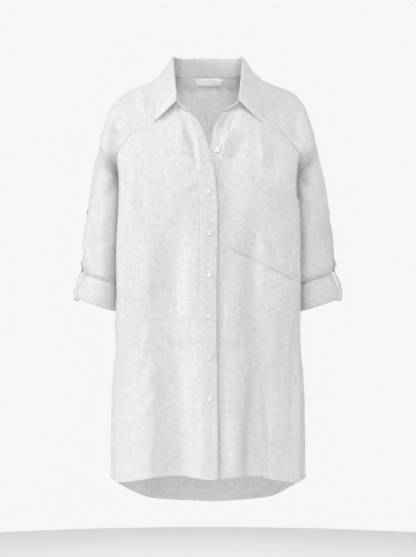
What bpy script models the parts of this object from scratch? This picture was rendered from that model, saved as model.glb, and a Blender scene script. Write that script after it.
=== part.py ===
"""An oversized linen shirt with raglan sleeves, filled out as if worn, with nobody in it.

Metres, +Z up. The front faces -Y, and the wearer's left is +X. The origin is the middle of the
wearer's shoulders, at the height where the collar meets the shoulder line. The tables are in
millimetres. Both halves are drawn in one half's own coordinates, with x positive away from the
centre line, and side is +1 for the wearer's left and -1 for the right.
"""

import math

import bpy
import numpy as np

MM = 0.001

# Cloth and seams
WALL = 1.2
COLLAR_WALL = 1.6
BAND_WALL = 1.0
POCKET_WALL = 1.0
CUFF_WALL = 2.2
STRAP_WALL = 1.4
SEAM_GAP = 0.3
HALF_GAP = 0.2
ON_PANEL = 1.2

# Body: where the underarm is, and the levels of the body from the neck down
UNDERARM_Z = -196
FRONT_NECK_Z = -81
FRONT_SEAM_TOP_Z = -40
BACK_NECK_Z = 12
BACK_SEAM_TOP_Z = 10
BODY_LEVELS = {
    "z": (20, 0, -40, -80, -120, -160, -200, -260, -340, -420, -480, -560, -640, -740, -830, -900),
    "half_width": (92, 108, 160, 190, 198, 196, 189, 189, 192, 195, 196, 196, 198, 201, 201, 199),
    "front": (36, 44, 66, 88, 107, 121, 129, 134, 134, 134, 134, 134, 135, 137, 138, 138),
    "back": (74, 78, 92, 104, 112, 117, 119, 119, 120, 123, 126, 130, 133, 136, 138, 139),
    "beside_arm": (0, 0, 0, 0, 0.2, 0.7, 1, 1, 1, 0.9, 0.6, 0.2, 0, 0, 0, 0),
}
# Half a body section beside an arm, from the centre front to the centre back, as shares of the
# half width and the depth: a flat front, a soft front corner, and a side that the arm presses in
ARM_SECTION = {
    "t": (0, 0.1, 0.2, 0.3, 0.4, 0.5, 0.6, 0.7, 0.8, 0.9, 1),
    "x": (0, 0.31, 0.62, 0.915, 0.935, 0.86, 0.85, 0.80, 0.56, 0.28, 0),
    "y": (-1, -0.99, -0.94, -0.80, -0.40, 0.08, 0.50, 0.87, 0.985, 1, 1),
}
ROUND_POWER = 0.9

# Edges of the two fronts at the opening, measured from the centre line to the own side
RIGHT_EDGE = {
    "z": (-81, -97, -122, -148, -172, -210, -239, -400, -600, -850),
    "x": (37.6, 22, 9.9, 0.8, -5.1, -12.4, -15.5, -16.5, -17.2, -19),
}
LEFT_EDGE = {
    "z": (-81, -103, -114, -129, -145, -160, -200, -240, -400, -850),
    "x": (32, 16.7, 11.1, 9.3, 6.5, 1.3, -9, -12.5, -12.5, -12.5),
}
UNDERLAP = 3.2
UNDERLAP_FULL_X = 36
UNDERLAP_END_X = 80

# Raglan seams, as the share of the way round the half section at each height
FRONT_SEAM = {
    "z": (-40, -60, -86, -98, -116, -137, -156, -169, -184, -196),
    "t": (0.153, 0.172, 0.190, 0.221, 0.252, 0.281, 0.313, 0.350, 0.425, 0.5),
}
BACK_SEAM = {
    "z": (10, -30, -60, -90, -120, -150, -175, -196),
    "t": (0.80, 0.815, 0.805, 0.785, 0.75, 0.695, 0.61, 0.5),
}
HEM = {
    "t": (0, 0.1, 0.17, 0.28, 0.4, 0.5, 0.58, 0.65, 0.7, 0.76, 0.85, 1),
    "z": (-808, -804, -806, -822, -828, -828, -834, -847, -862, -876, -888, -894),
}

# Largest folds: place round the section at the foot and at the head, width, height and reach
FOLD_COLUMNS = ("side", "foot_t", "head_t", "width", "height", "head_z", "full_z")
FOLDS = (
    (-1, 0.285, 0.27, 0.085, 11, -330, -760),
    (-1, 0.120, 0.16, 0.065, -12, -250, -720),
    (-1, 0.440, 0.43, 0.050, -6, -480, -780),
    (1, 0.070, 0.08, 0.050, 6, -380, -740),
    (1, 0.168, 0.15, 0.055, -15, -330, -740),
    (1, 0.295, 0.26, 0.075, 12, -330, -760),
    (1, 0.430, 0.42, 0.050, -7, -480, -780),
    (-1, 0.640, 0.66, 0.055, 8, -360, -780),
    (-1, 0.760, 0.78, 0.060, -10, -300, -760),
    (-1, 0.880, 0.90, 0.060, 9, -200, -740),
    (1, 0.620, 0.64, 0.055, 7, -400, -780),
    (1, 0.730, 0.72, 0.055, -9, -340, -760),
    (1, 0.850, 0.87, 0.060, 10, -260, -740),
    (1, 0.960, 0.96, 0.045, -7, -200, -700),
)

# The two fronts lie flat on each other between these places, and fold freely beyond them
FOLD_FREE_T = (0.03, 0.09)

# Sleeve cap: from the neckline (v 0) to the underarm (v 1). The crest runs along the shoulder, and
# the pulls are the tangents with which the cloth leaves the two seams and the crest
CAP = {
    "v": (0, 0.15, 0.3, 0.5, 0.65, 0.8, 0.9, 1),
    "crest_x": (77, 103, 139, 179, 199, 213, 221.5, 230),
    "crest_y": (6, 7, 9, 10, 11, 12, 14, 16),
    "crest_z": (9, 0, -14, -33, -57, -99, -137, -181),
    "front_pull_x": (4, 18, 28, 34, 37, 36, 34, 30),
    "front_pull_y": (20, 18, 16, 11, 3, -14, -42, -88),
    "front_pull_z": (22, 18, 16, 13, 9, 4, 0, -4),
    "back_pull_x": (6, 20, 30, 38, 40, 38, 26, 8),
    "back_pull_y": (-18, -10, -6, -4, 2, 18, 44, 86),
    "back_pull_z": (3, 5, 8, 10, 8, 3, 0, -4),
    "crest_pull": (24, 34, 44, 58, 68, 78, 84, 88),
}
# Sleeve tube: the inner and the outer line of the arm, the half depth from front to back, and how
# far the cloth leans away from the body as it leaves the inner line
TUBE = {
    "v": (1, 1.25, 1.6, 1.85, 2, 2.25, 2.35),
    "inner_x": (163.9, 168, 173, 177, 181, 189, 192),
    "inner_y": (10.5, 17, 19, 20, 20, 20, 20),
    "inner_z": (-196.4, -262, -342, -400, -427, -479, -500),
    "outer_x": (230, 243.5, 256, 260, 259, 271, 276),
    "outer_y": (16, 16, 17, 18, 19, 20, 20),
    "outer_z": (-181, -246, -320, -376, -403, -452, -472),
    "depth": (66, 70, 69, 64, 60, 58, 58),
    "front_lean": (30, 18, 8, 2, 0, 0, 0),
    "back_lean": (8, 4, 2, 0, 0, 0, 0),
}
SLEEVE_END_V = 2.24
# Section of a rolled cuff, as height off the sleeve's face at each place along it: the outer
# layers, the turn below the sleeve's end, and a short lip inside
CUFF_SECTION = (
    (2.000, 0.5), (2.004, 2.6), (2.080, 3.8), (2.170, 3.9), (2.240, 3.2), (2.262, 1.4),
    (2.266, -1.0), (2.262, -3.0), (2.245, -3.5), (2.200, -3.5), (2.200, -1.9), (2.246, -1.9), (2.246, 0.5),
)

# Collar: the fold, from the front end round to the centre back, and the outer edge of the fall
COLLAR_FOLD = {
    "s": (0, 0.08, 0.167, 0.26, 0.35, 0.445, 0.54, 0.63, 0.72, 0.815, 0.91, 1),
    "x": (62.5, 62.5, 64, 67, 70, 71, 70, 66, 58, 41.5, 22, 0),
    "y": (-91.5, -89, -79, -63, -42, -17, 10, 33, 53.5, 64, 68, 69.5),
    "z": (-57.5, -45, -27, -1, 24, 40, 46, 48.5, 49.5, 50.5, 51.5, 52),
}
# The fall's outer edge on the yoke: q goes round from the front edge to the centre back, v is the
# distance below the neckline
FALL_EDGE = {
    "s": (0, 0.12, 0.25, 0.4, 0.55, 0.7, 0.85, 1),
    "q": (0.262, 0.30, 0.345, 0.43, 0.54, 0.68, 0.84, 1),
    "v": (0.35, 0.28, 0.215, 0.17, 0.15, 0.135, 0.122, 0.117),
}
FALL_LIFT = 2.2
FALL_TIP_LIFT = 5.0
FALL_ROLL = 0.4
FOLD_RADIUS = 2.6
# The stand runs past the fall at the front, with a rounded end. Its height is a share of the way
# from the neckline to the fold
FALL_START = 0.1
STAND_SHARE = {"s": (0, 0.25, 0.5, 0.75, 1), "share": (0.72, 0.62, 0.53, 0.48, 0.46)}
STAND_END_U = (0, 0.01, 0.03, 0.06)
STAND_END_HEIGHT = 14.5
STAND_END_ROUND = 0.05
STAND_END_LEAST = 0.35

# Front bands, pocket, buttons and label
BAND_WIDTH = 31
BAND_TOP_GAP = 2
FIRST_BUTTON_Z = -160
BUTTON_PITCH = 81.4
BUTTON_COUNT = 7
BUTTON_RADIUS = 5.7
BUTTON_THICK = 2.4
BUTTON_DISH = 0.7
POCKET_CORNER_S = 108
POCKET_CORNER_Z = -216
POCKET_WIDTH = 145
POCKET_HEIGHT = 150
POCKET_TILT = math.radians(26)
LABEL_WIDTH = 56
LABEL_HEIGHT = 15
LABEL_SLANT = 9
LABEL_X = 1
LABEL_DROP = 2
LABEL_GAP = 0.6
LABEL_WALL = 1.0

# Sleeve straps, on the outer line of the arm: from the buttoned end, over the cuff, round its foot
# and up the inside to the end that is sewn on. The width is a share of the way round the sleeve
STRAP_PATH = {
    "v": (
        1.835, 1.90, 1.96, 2.01, 2.07, 2.14, 2.21, 2.265, 2.286,
        2.286, 2.262, 2.18, 2.08, 2.0, 1.92, 1.80, 1.58, 1.36,
    ),
    "height": (
        1.9, 2.1, 3.6, 7, 9.8, 11, 10, 7, 2.4,
        -2.4, -5.4, -5.6, -4.8, -4.4, -4.2, -4.0, -4.0, -4.0,
    ),
}
STRAP_HALF_WIDTH = 0.034
STRAP_BUTTON_V = 1.878
STRAP_BUTTON_OUT = 2.5
SLEEVE_BUTTON_V = 1.385

# Mesh density
CAP_ROWS = 9
TAIL_ROWS = 15
BAND_COLUMNS = 2
FRONT_COLUMNS = 16
BACK_COLUMNS = 22
SLEEVE_COLUMNS = 20
TUBE_ROWS = 10
COLLAR_COLUMNS = 15
FALL_ROWS = 5
POCKET_CELLS = 14
BUTTON_SIDES = 14
STRAP_COLUMNS = 2

LINEN = (0.87, 0.87, 0.86, 1)
PEARL = (0.90, 0.90, 0.88, 1)
SATIN = (0.93, 0.93, 0.93, 1)


def clear_scene():
    for item in list(bpy.data.objects):
        bpy.data.objects.remove(item)


def material(name, colour, roughness):
    made = bpy.data.materials.new(name)
    made.use_nodes = True
    shader = made.node_tree.nodes["Principled BSDF"]
    shader.inputs["Base Color"].default_value = colour
    shader.inputs["Roughness"].default_value = roughness
    shader.inputs["Metallic"].default_value = 0
    return made


def spline(at, knots, values):
    """A natural cubic through the knots, read at any number of places, straight beyond the ends."""
    knots, values = np.asarray(knots, float), np.asarray(values, float)
    if knots[0] > knots[-1]:
        knots, values = knots[::-1], values[::-1]
    step = np.diff(knots)
    slope = np.diff(values) / step
    count = len(knots)
    system = np.eye(count)
    right = np.zeros(count)
    for i in range(1, count - 1):
        system[i, i - 1 : i + 2] = step[i - 1], 2 * (step[i - 1] + step[i]), step[i]
        right[i] = 6 * (slope[i] - slope[i - 1])
    bend = np.linalg.solve(system, right)
    at = np.clip(np.asarray(at, float), knots[0], knots[-1])
    i = np.clip(np.searchsorted(knots, at) - 1, 0, count - 2)
    a, b = knots[i + 1] - at, at - knots[i]
    curved = (bend[i] * a**3 + bend[i + 1] * b**3) / (6 * step[i])
    low = (values[i] / step[i] - bend[i] * step[i] / 6) * a
    high = (values[i + 1] / step[i] - bend[i + 1] * step[i] / 6) * b
    return curved + low + high


def column(table, name, at):
    """One named column of a table, read between its rows. The first column is where it is read."""
    return spline(at, next(iter(table.values())), table[name])


def smooth_step(low, high, value):
    share = np.clip((value - low) / (high - low), 0, 1)
    return share * share * (3 - 2 * share)


def half_section(t, z):
    """A point of the half section at height z: t is 0 at the centre front and 1 at the centre back."""
    turn = np.pi * t
    sine, cosine = np.sin(turn), np.cos(turn)
    round_x = np.sign(sine) * np.abs(sine) ** ROUND_POWER
    round_y = -np.sign(cosine) * np.abs(cosine) ** ROUND_POWER
    arm_x = np.sign(t) * spline(np.abs(t), ARM_SECTION["t"], ARM_SECTION["x"])
    arm_y = spline(np.abs(t), ARM_SECTION["t"], ARM_SECTION["y"])
    share = np.clip(column(BODY_LEVELS, "beside_arm", z), 0, 1)
    x = round_x + share * (arm_x - round_x)
    y = round_y + share * (arm_y - round_y)
    depth = np.where(y < 0, column(BODY_LEVELS, "front", z), column(BODY_LEVELS, "back", z))
    return x * column(BODY_LEVELS, "half_width", z), y * depth


def fold_height(t, z, side):
    """How far the large folds stand out of the plain section."""
    total = np.zeros(np.broadcast(t, z).shape)
    for values in FOLDS:
        fold = dict(zip(FOLD_COLUMNS, values))
        if fold["side"] != side:
            continue
        grown = smooth_step(-fold["head_z"], -fold["full_z"], -z)
        place = fold["head_t"] + (fold["foot_t"] - fold["head_t"]) * grown
        total = total + fold["height"] * grown * np.exp(-(((t - place) / fold["width"]) ** 2))
    return total * smooth_step(*FOLD_FREE_T, t)


def body(t, z, side, out=0.0):
    """Points on the body's outer face, moved out by out, in the half's own coordinates."""
    t, z = np.broadcast_arrays(np.asarray(t, float), np.asarray(z, float))
    small = 1e-3
    x0, y0 = half_section(t - small, z)
    x1, y1 = half_section(t + small, z)
    along = np.hypot(x1 - x0, y1 - y0)
    normal_x, normal_y = (y1 - y0) / along, -(x1 - x0) / along
    x, y = half_section(t, z)
    lift = out + fold_height(t, z, side)
    return np.stack([x + lift * normal_x, y + lift * normal_y, z], -1)


def t_at_x(x, z):
    """Where round the section the front is x from the centre line."""
    places = np.linspace(-0.14, 0.28, 85)
    x, z = np.broadcast_arrays(np.asarray(x, float), np.asarray(z, float))
    found = [np.interp(a, half_section(places, np.full(85, b))[0], places) for a, b in zip(x.flat, z.flat)]
    return np.array(found).reshape(x.shape)


def front_edge_x(z, side):
    return column(RIGHT_EDGE if side < 0 else LEFT_EDGE, "x", z)


def front_point(across, v, side, out=0.0):
    """The front at across, 0 on the free edge and 1 on the seam, and v, 0 at the neckline, 1 at the
    underarm and 2 at the hem."""
    across, v = np.broadcast_arrays(np.asarray(across, float), np.asarray(v, float))
    cap = np.clip(v, 0, 1)
    tail = np.clip(v - 1, 0, 1)
    edge_z = FRONT_NECK_Z + (UNDERARM_Z - FRONT_NECK_Z) * cap
    seam_z = FRONT_SEAM_TOP_Z + (UNDERARM_Z - FRONT_SEAM_TOP_Z) * cap
    z = edge_z + (seam_z - edge_z) * across**1.3
    seam_t = np.where(v >= 1, 0.5, column(FRONT_SEAM, "t", seam_z))
    low_z = edge_z + (column(HEM, "z", 0.05) - UNDERARM_Z) * tail
    edge_t = t_at_x(front_edge_x(low_z, side), low_z)
    t = edge_t + (seam_t - edge_t) * across
    z = z + (column(HEM, "z", np.abs(t)) - UNDERARM_Z) * tail
    if side > 0:
        x = half_section(t, z)[0]
        out = out - UNDERLAP * (1 - smooth_step(UNDERLAP_FULL_X, UNDERLAP_END_X, x))
    return body(t, z, side, out)


def back_point(across, v, side, out=0.0):
    """The back at across, 0 on the centre back and 1 on the seam, and v as on the front."""
    across, v = np.broadcast_arrays(np.asarray(across, float), np.asarray(v, float))
    cap = np.clip(v, 0, 1)
    tail = np.clip(v - 1, 0, 1)
    middle_z = BACK_NECK_Z + (UNDERARM_Z - BACK_NECK_Z) * cap
    seam_z = BACK_SEAM_TOP_Z + (UNDERARM_Z - BACK_SEAM_TOP_Z) * cap
    z = middle_z + (seam_z - middle_z) * across**2
    seam_t = np.where(v >= 1, 0.5, column(BACK_SEAM, "t", seam_z))
    t = 1 + (seam_t - 1) * across
    z = z + (column(HEM, "z", t) - UNDERARM_Z) * tail
    return body(t, z, side, out)


def bezier(p0, p1, p2, p3, share):
    share = share[..., None]
    rest = 1 - share
    return rest**3 * p0 + 3 * rest**2 * share * p1 + 3 * rest * share**2 * p2 + share**3 * p3


def stacked(table, prefix, at):
    return np.stack([column(table, prefix + axis, at) for axis in "xyz"], -1)


def sleeve_point(w, v, side):
    """The sleeve at w, 0 on the front seam, 0.5 on the crest and 1 on the back seam, and v, 0 at
    the neckline, 1 at the underarm, and more down the arm. Each half row is one cubic."""
    w, v = np.broadcast_arrays(np.asarray(w, float), np.asarray(v, float))
    cap, tube = np.clip(v, 0, 1), np.clip(v, 1, None)
    on_cap = (v < 1)[..., None]
    front = front_point(1.0, cap, side)
    back = back_point(1.0, cap, side)
    inner = stacked(TUBE, "inner_", tube)
    crest = np.where(on_cap, stacked(CAP, "crest_", cap), stacked(TUBE, "outer_", tube))
    forward = np.array([0.0, -1.0, 0.0])
    outward = np.array([1.0, 0.0, 0.0])
    round_pull = (4 / 3 * column(TUBE, "depth", tube))[..., None] * forward
    front_round = round_pull + column(TUBE, "front_lean", tube)[..., None] * outward
    back_round = -round_pull + column(TUBE, "back_lean", tube)[..., None] * outward
    crest_pull = np.where(on_cap, column(CAP, "crest_pull", cap)[..., None] * forward, round_pull)
    front_pull = np.where(on_cap, stacked(CAP, "front_pull_", cap), front_round)
    back_pull = np.where(on_cap, stacked(CAP, "back_pull_", cap), back_round)
    front_start = np.where(on_cap, front, inner)
    back_start = np.where(on_cap, back, inner)
    front_half = bezier(front_start, front_start + front_pull, crest + crest_pull, crest, 2 * w)
    back_half = bezier(back_start, back_start + back_pull, crest - crest_pull, crest, 2 - 2 * w)
    return np.where((w <= 0.5)[..., None], front_half, back_half)


def yoke_point(q, v, side):
    """The upper body as one surface: q is 0 on the front edge and 1 on the centre back, with the
    seams at a third and two thirds."""
    q, v = np.broadcast_arrays(np.asarray(q, float), np.asarray(v, float))
    front = front_point(np.clip(3 * q, 0, 1), v, side)
    sleeve = sleeve_point(np.clip(3 * q - 1, 0, 1), v, side)
    back = back_point(np.clip(3 - 3 * q, 0, 1), v, side)
    on_front, on_sleeve = (q <= 1 / 3)[..., None], (q <= 2 / 3)[..., None]
    return np.where(on_front, front, np.where(on_sleeve, sleeve, back))


def raised(surface, a, b, side, height):
    """Points of a surface moved along its own outward normal."""
    a, b, height = np.broadcast_arrays(np.asarray(a, float), np.asarray(b, float), np.asarray(height, float))
    small = 1e-3
    step = np.where(a > 0.5, -small, small)
    along_a = (surface(a + step, b, side) - surface(a, b, side)) / step[..., None]
    along_b = surface(a, b + small, side) - surface(a, b - small, side)
    normal = np.cross(along_a, along_b)
    normal = normal / np.linalg.norm(normal, axis=-1)[..., None]
    return surface(a, b, side) - normal * height[..., None]


def to_world(points, side):
    return points * np.array([side, 1, 1])


def unit(vectors):
    return vectors / np.linalg.norm(vectors, axis=-1)[..., None]


def layout(shape, closed_from=None):
    """Numbers a grid's points row by row, and its faces. Rows from closed_from on join end to end."""
    rows, columns = shape
    index = np.zeros(shape, int)
    count = 0
    for i in range(rows):
        for j in range(columns):
            if closed_from is not None and i >= closed_from and j == columns - 1:
                index[i, j] = index[i, 0]
                continue
            index[i, j] = count
            count += 1
    corners = index[:-1, :-1], index[:-1, 1:], index[1:, 1:], index[1:, :-1]
    return index, np.stack(corners, -1).reshape(-1, 4), count


def listed(grid, index, count):
    points = np.zeros((count, 3))
    points[index[:, ::-1]] = grid[:, ::-1]
    return points


def grid_normals(grid, closed_from=None, flip=False):
    index, faces, count = layout(grid.shape[:2], closed_from)
    points = listed(grid, index, count)
    corners = points[faces]
    across = np.cross(corners[:, 2] - corners[:, 0], corners[:, 3] - corners[:, 1])
    total = np.zeros((count, 3))
    for k in range(4):
        np.add.at(total, faces[:, k], across)
    return unit(total)[index] * (-1 if flip else 1)


def shell(outer, inner, closed_from=None, flip=False):
    """Points and faces of the wall between two grids of the same shape."""
    index, faces, count = layout(outer.shape[:2], closed_from)
    if flip:
        faces = faces[:, ::-1]
    edges = {(int(face[k]), int(face[(k + 1) % 4])) for face in faces for k in range(4)}
    rim = [(b, a, a + count, b + count) for a, b in sorted(edges) if (b, a) not in edges]
    points = np.concatenate([listed(outer, index, count), listed(inner, index, count)])
    return points, [tuple(f) for f in faces] + [tuple(f[::-1] + count) for f in faces] + rim


def inset(grid, left=0.0, right=0.0, top=0.0, bottom=0.0):
    """Draws the grid's edges in along the surface, to leave the seam gaps."""
    grid = grid.copy()
    for amount, edge, inner in (
        (left, (slice(None), 0), (slice(None), 1)),
        (right, (slice(None), -1), (slice(None), -2)),
        (top, (0, slice(None)), (1, slice(None))),
        (bottom, (-1, slice(None)), (-2, slice(None))),
    ):
        if amount:
            grid[edge] += amount * unit(grid[inner] - grid[edge])
    return grid


def add_object(name, points, faces, finish, side=1):
    """A mesh object from millimetres in the half's own coordinates."""
    faces = [tuple(int(i) for i in f) for f in faces]
    if side < 0:
        faces = [f[::-1] for f in faces]
    mesh = bpy.data.meshes.new(name)
    mesh.from_pydata((to_world(points, side) * MM).tolist(), [], faces)
    mesh.materials.append(finish)
    mesh.shade_smooth()
    made = bpy.data.objects.new(name, mesh)
    bpy.context.collection.objects.link(made)
    return made


def add_wall(name, grid, normals, thickness, finish, side=1, closed_from=None, flip=False):
    points, faces = shell(grid, grid - normals * thickness, closed_from, flip)
    return add_object(name, points, faces, finish, side)


def side_name(base, side):
    return base + ("_right" if side < 0 else "_left")


def body_rows():
    cap = np.linspace(0, 1, CAP_ROWS + 1)
    return np.concatenate([cap, 1 + np.linspace(0, 1, TAIL_ROWS + 1)[1:]])


def sleeve_rows():
    cap = np.linspace(0, 1, CAP_ROWS + 1)
    return np.concatenate([cap, np.linspace(1, SLEEVE_END_V, TUBE_ROWS + 1)[1:]])


def front_places(rows, side):
    """Where the front's columns are: the band's width has its own, then the rest are even."""
    fine = np.linspace(0, 1, 101)
    line = front_point(fine[None, :], rows[:, None], side)
    length = np.linalg.norm(np.diff(line, axis=1), axis=-1).cumsum(axis=1)
    band = np.array([np.interp(BAND_WIDTH, row, fine[1:]) for row in length])
    inner = np.linspace(0, 1, BAND_COLUMNS + 1)[:-1]
    rest = np.linspace(0, 1, FRONT_COLUMNS - BAND_COLUMNS + 1)
    return np.concatenate([band[:, None] * inner, band[:, None] + (1 - band[:, None]) * rest], 1)


def panel_grids():
    """The outer faces of the five panels and their normals, which they share along the seams."""
    rows = body_rows()
    across = np.linspace(0, 1, BACK_COLUMNS // 2 + 1)[None, :]
    left = back_point(across, rows[:, None], 1)
    right = to_world(back_point(across, rows[:, None], -1), -1)
    back = np.concatenate([right[:, :0:-1], (left[:, :1] + right[:, :1]) / 2, left[:, 1:]], 1)
    back_normals = grid_normals(back)
    around = np.linspace(0, 1, SLEEVE_COLUMNS + 1)[None, :]
    grids = {}
    for side in (-1, 1):
        front = front_point(front_places(rows, side), rows[:, None], side)
        sleeve = sleeve_point(around, sleeve_rows()[:, None], side)
        front_normals = grid_normals(front, flip=True)
        sleeve_normals = grid_normals(sleeve, CAP_ROWS, flip=True)
        seam = -1 if side > 0 else 0
        own_back = to_world(back_normals[:, seam], side)
        cap, tail = slice(0, CAP_ROWS), slice(CAP_ROWS, None)
        front_normals[cap, -1] = sleeve_normals[cap, 0] = unit(front_normals[cap, -1] + sleeve_normals[cap, 0])
        own_back[cap] = sleeve_normals[cap, -1] = unit(own_back[cap] + sleeve_normals[cap, -1])
        own_back[tail] = front_normals[tail, -1] = unit(own_back[tail] + front_normals[tail, -1])
        back_normals[:, seam] = to_world(own_back, side)
        grids[side_name("front", side)] = front, front_normals
        grids[side_name("sleeve", side)] = sleeve, sleeve_normals
    grids["back"] = back, back_normals
    return grids


def add_panels(grids, finish):
    grid, normals = grids["back"]
    add_wall("back", inset(grid, HALF_GAP, HALF_GAP, HALF_GAP), normals, WALL, finish)
    for side in (-1, 1):
        name = side_name("front", side)
        grid, normals = grids[name]
        add_wall(name, inset(grid, right=HALF_GAP, top=HALF_GAP), normals, WALL, finish, side, flip=True)
        name = side_name("sleeve", side)
        grid, normals = grids[name]
        grid = inset(grid, HALF_GAP, HALF_GAP, HALF_GAP)
        add_wall(name, grid, normals, WALL, finish, side, CAP_ROWS, flip=True)


def add_bands(grids, finish):
    for side in (-1, 1):
        grid, normals = (item[:, : BAND_COLUMNS + 1] for item in grids[side_name("front", side)])
        grid = inset(grid + normals * (SEAM_GAP + BAND_WALL), top=BAND_TOP_GAP)
        add_wall(side_name("band", side), grid, normals, BAND_WALL, finish, side, flip=True)


def neck_places(u, side):
    """The yoke's q at shares u of the neckline's length."""
    fine = np.linspace(0, 1, 401)
    line = yoke_point(fine, 0.0, side)
    length = np.concatenate([[0], np.linalg.norm(np.diff(line, axis=0), axis=1).cumsum()])
    return np.interp(np.asarray(u) * length[-1], length, fine)


def collar_frame(u, side):
    """The neckline, the fold, the way up the stand and the way out of it, at shares u."""
    base = yoke_point(neck_places(u, side), 0.0, side)
    small = 5e-3
    after = yoke_point(neck_places(np.clip(u + small, 0, 1), side), 0.0, side)
    before = yoke_point(neck_places(np.clip(u - small, 0, 1), side), 0.0, side)
    s = np.clip((u - FALL_START) / (1 - FALL_START), 0, 1)
    start = yoke_point(neck_places(np.maximum(u, FALL_START), side), 0.0, side)
    fold = stacked(COLLAR_FOLD, "", s)
    up = unit(fold - start)
    out = unit(np.cross(after - before, up))
    return base, start, fold, up, out, s


def both_sides(build, places):
    """Joins the right half and the left half at the centre back, from front end to front end."""
    right, left = build(places, -1), build(places, 1)
    joined = []
    for r, l in zip(right, left):
        r = to_world(r, -1)
        middle = (r[:, -1:] + l[:, -1:]) / 2
        joined.append(np.concatenate([r[:, :-1], middle, l[:, -2::-1]], 1))
    return joined


def stand_half(u, side):
    base, start, fold, up, out, s = collar_frame(u, side)
    height = column(STAND_SHARE, "share", s) * np.linalg.norm(fold - start, axis=-1)
    turn = np.clip(1 - u / STAND_END_ROUND, 0, 1)
    height = height * np.maximum(np.sqrt(1 - turn**2), STAND_END_LEAST)
    rows = np.linspace(0, 1, 3)[:, None, None]
    foot = SEAM_GAP + HALF_GAP
    outer = base + up * (foot + (height[:, None] - foot) * rows)
    return outer, outer - out * COLLAR_WALL


def fall_half(u, side):
    base, start, fold, up, out, s = collar_frame(u, side)
    height = np.linalg.norm(fold - start, axis=-1)[:, None]
    low = column(STAND_SHARE, "share", s)[:, None] * height + SEAM_GAP
    high = height - FOLD_RADIUS
    rows = [base + up * (low + (high - low) * share) - out * COLLAR_WALL for share in (0, 0.5)]
    centre = fold - up * FOLD_RADIUS + out * (FOLD_RADIUS - COLLAR_WALL)
    for turn in np.radians((0, 45, 90, 135)):
        rows.append(centre + FOLD_RADIUS * (up * math.sin(turn) - out * math.cos(turn)))
    begin = centre + out * FOLD_RADIUS
    q, v = column(FALL_EDGE, "q", s), column(FALL_EDGE, "v", s)
    lift = FALL_LIFT + (FALL_TIP_LIFT - FALL_LIFT) * (1 - smooth_step(0, 0.25, s))
    edge = raised(yoke_point, q, v, side, lift + COLLAR_WALL)
    reach = np.linalg.norm(edge - begin, axis=-1)[:, None]
    roll = (FALL_ROLL * smooth_step(0, 0.5, s))[:, None]
    leave = unit(unit(edge - begin) * (1 - roll) - up * roll)
    arrive = unit(unit(base - edge) + unit(begin - edge))
    for share in np.linspace(0, 1, FALL_ROWS + 1):
        spots = begin, begin + leave * reach / 3, edge + arrive * reach / 3, edge
        rows.append(bezier(*spots, np.full(len(u), share)))
    grid = np.stack(rows)
    return grid, grid


def add_collar(finish):
    fall_u = np.linspace(FALL_START, 1, COLLAR_COLUMNS + 1)
    outer, inner = both_sides(stand_half, np.concatenate([STAND_END_U, fall_u]))
    add_object("collar_stand", *shell(outer, inner, flip=True), finish)
    grid = both_sides(fall_half, fall_u)[0]
    add_wall("collar_fall", grid, grid_normals(grid), COLLAR_WALL, finish)


def t_at_arc(length, z):
    """Where round the section the front is length from the centre line, along the cloth."""
    places = np.linspace(0, 0.7, 141)
    length, z = np.broadcast_arrays(np.asarray(length, float), np.asarray(z, float))
    found = []
    for a, b in zip(length.flat, z.flat):
        x, y = half_section(places, np.full(141, b))
        along = np.concatenate([[0], np.hypot(np.diff(x), np.diff(y)).cumsum()])
        found.append(np.interp(a, along, places))
    return np.array(found).reshape(length.shape)


def add_pocket(finish):
    share = np.linspace(0, 1, POCKET_CELLS + 1)
    across, down = share[None, :] * POCKET_WIDTH, share[:, None] * POCKET_HEIGHT
    cosine, sine = math.cos(POCKET_TILT), math.sin(POCKET_TILT)
    z = POCKET_CORNER_Z - across * sine - down * cosine
    t = t_at_arc(POCKET_CORNER_S + across * cosine - down * sine, z)
    outer, inner = body(t, z, 1, ON_PANEL + POCKET_WALL), body(t, z, 1, ON_PANEL)
    add_object("pocket", *shell(outer, inner, flip=True), finish)


def add_cuffs_and_straps(finish):
    around = np.linspace(0, 1, SLEEVE_COLUMNS + 1)[None, :]
    section = np.array(CUFF_SECTION + CUFF_SECTION[:1])
    path_v, height = (np.array(STRAP_PATH[key])[:, None] for key in ("v", "height"))
    across = 0.5 + STRAP_HALF_WIDTH * np.linspace(-1, 1, STRAP_COLUMNS + 1)[None, :]
    for side in (-1, 1):
        grid = raised(sleeve_point, around, section[:, :1], side, section[:, 1:])
        add_ring(side_name("cuff", side), grid, finish, side)
        grid = raised(sleeve_point, across, path_v, side, height)
        add_wall(side_name("strap", side), grid, grid_normals(grid, flip=True), STRAP_WALL, finish, side, flip=True)


def add_ring(name, grid, finish, side):
    """A body from closed sections: both ways round the grid join up."""
    ring = grid[:-1, :-1]
    rows, columns = ring.shape[:2]
    number = np.arange(rows * columns).reshape(rows, columns)
    below, beside = np.roll(number, -1, 0), np.roll(number, -1, 1)
    corners = number, below, np.roll(below, -1, 1), beside
    add_object(name, ring.reshape(-1, 3), np.stack(corners, -1).reshape(-1, 4), finish, side)


def frame_at(surface, a, b, side, height):
    """A point over a surface, and the surface's outward normal there."""
    low, high = (raised(surface, a, b, side, h) for h in (0.0, 1.0))
    return low + (high - low) * height, high - low


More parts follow.
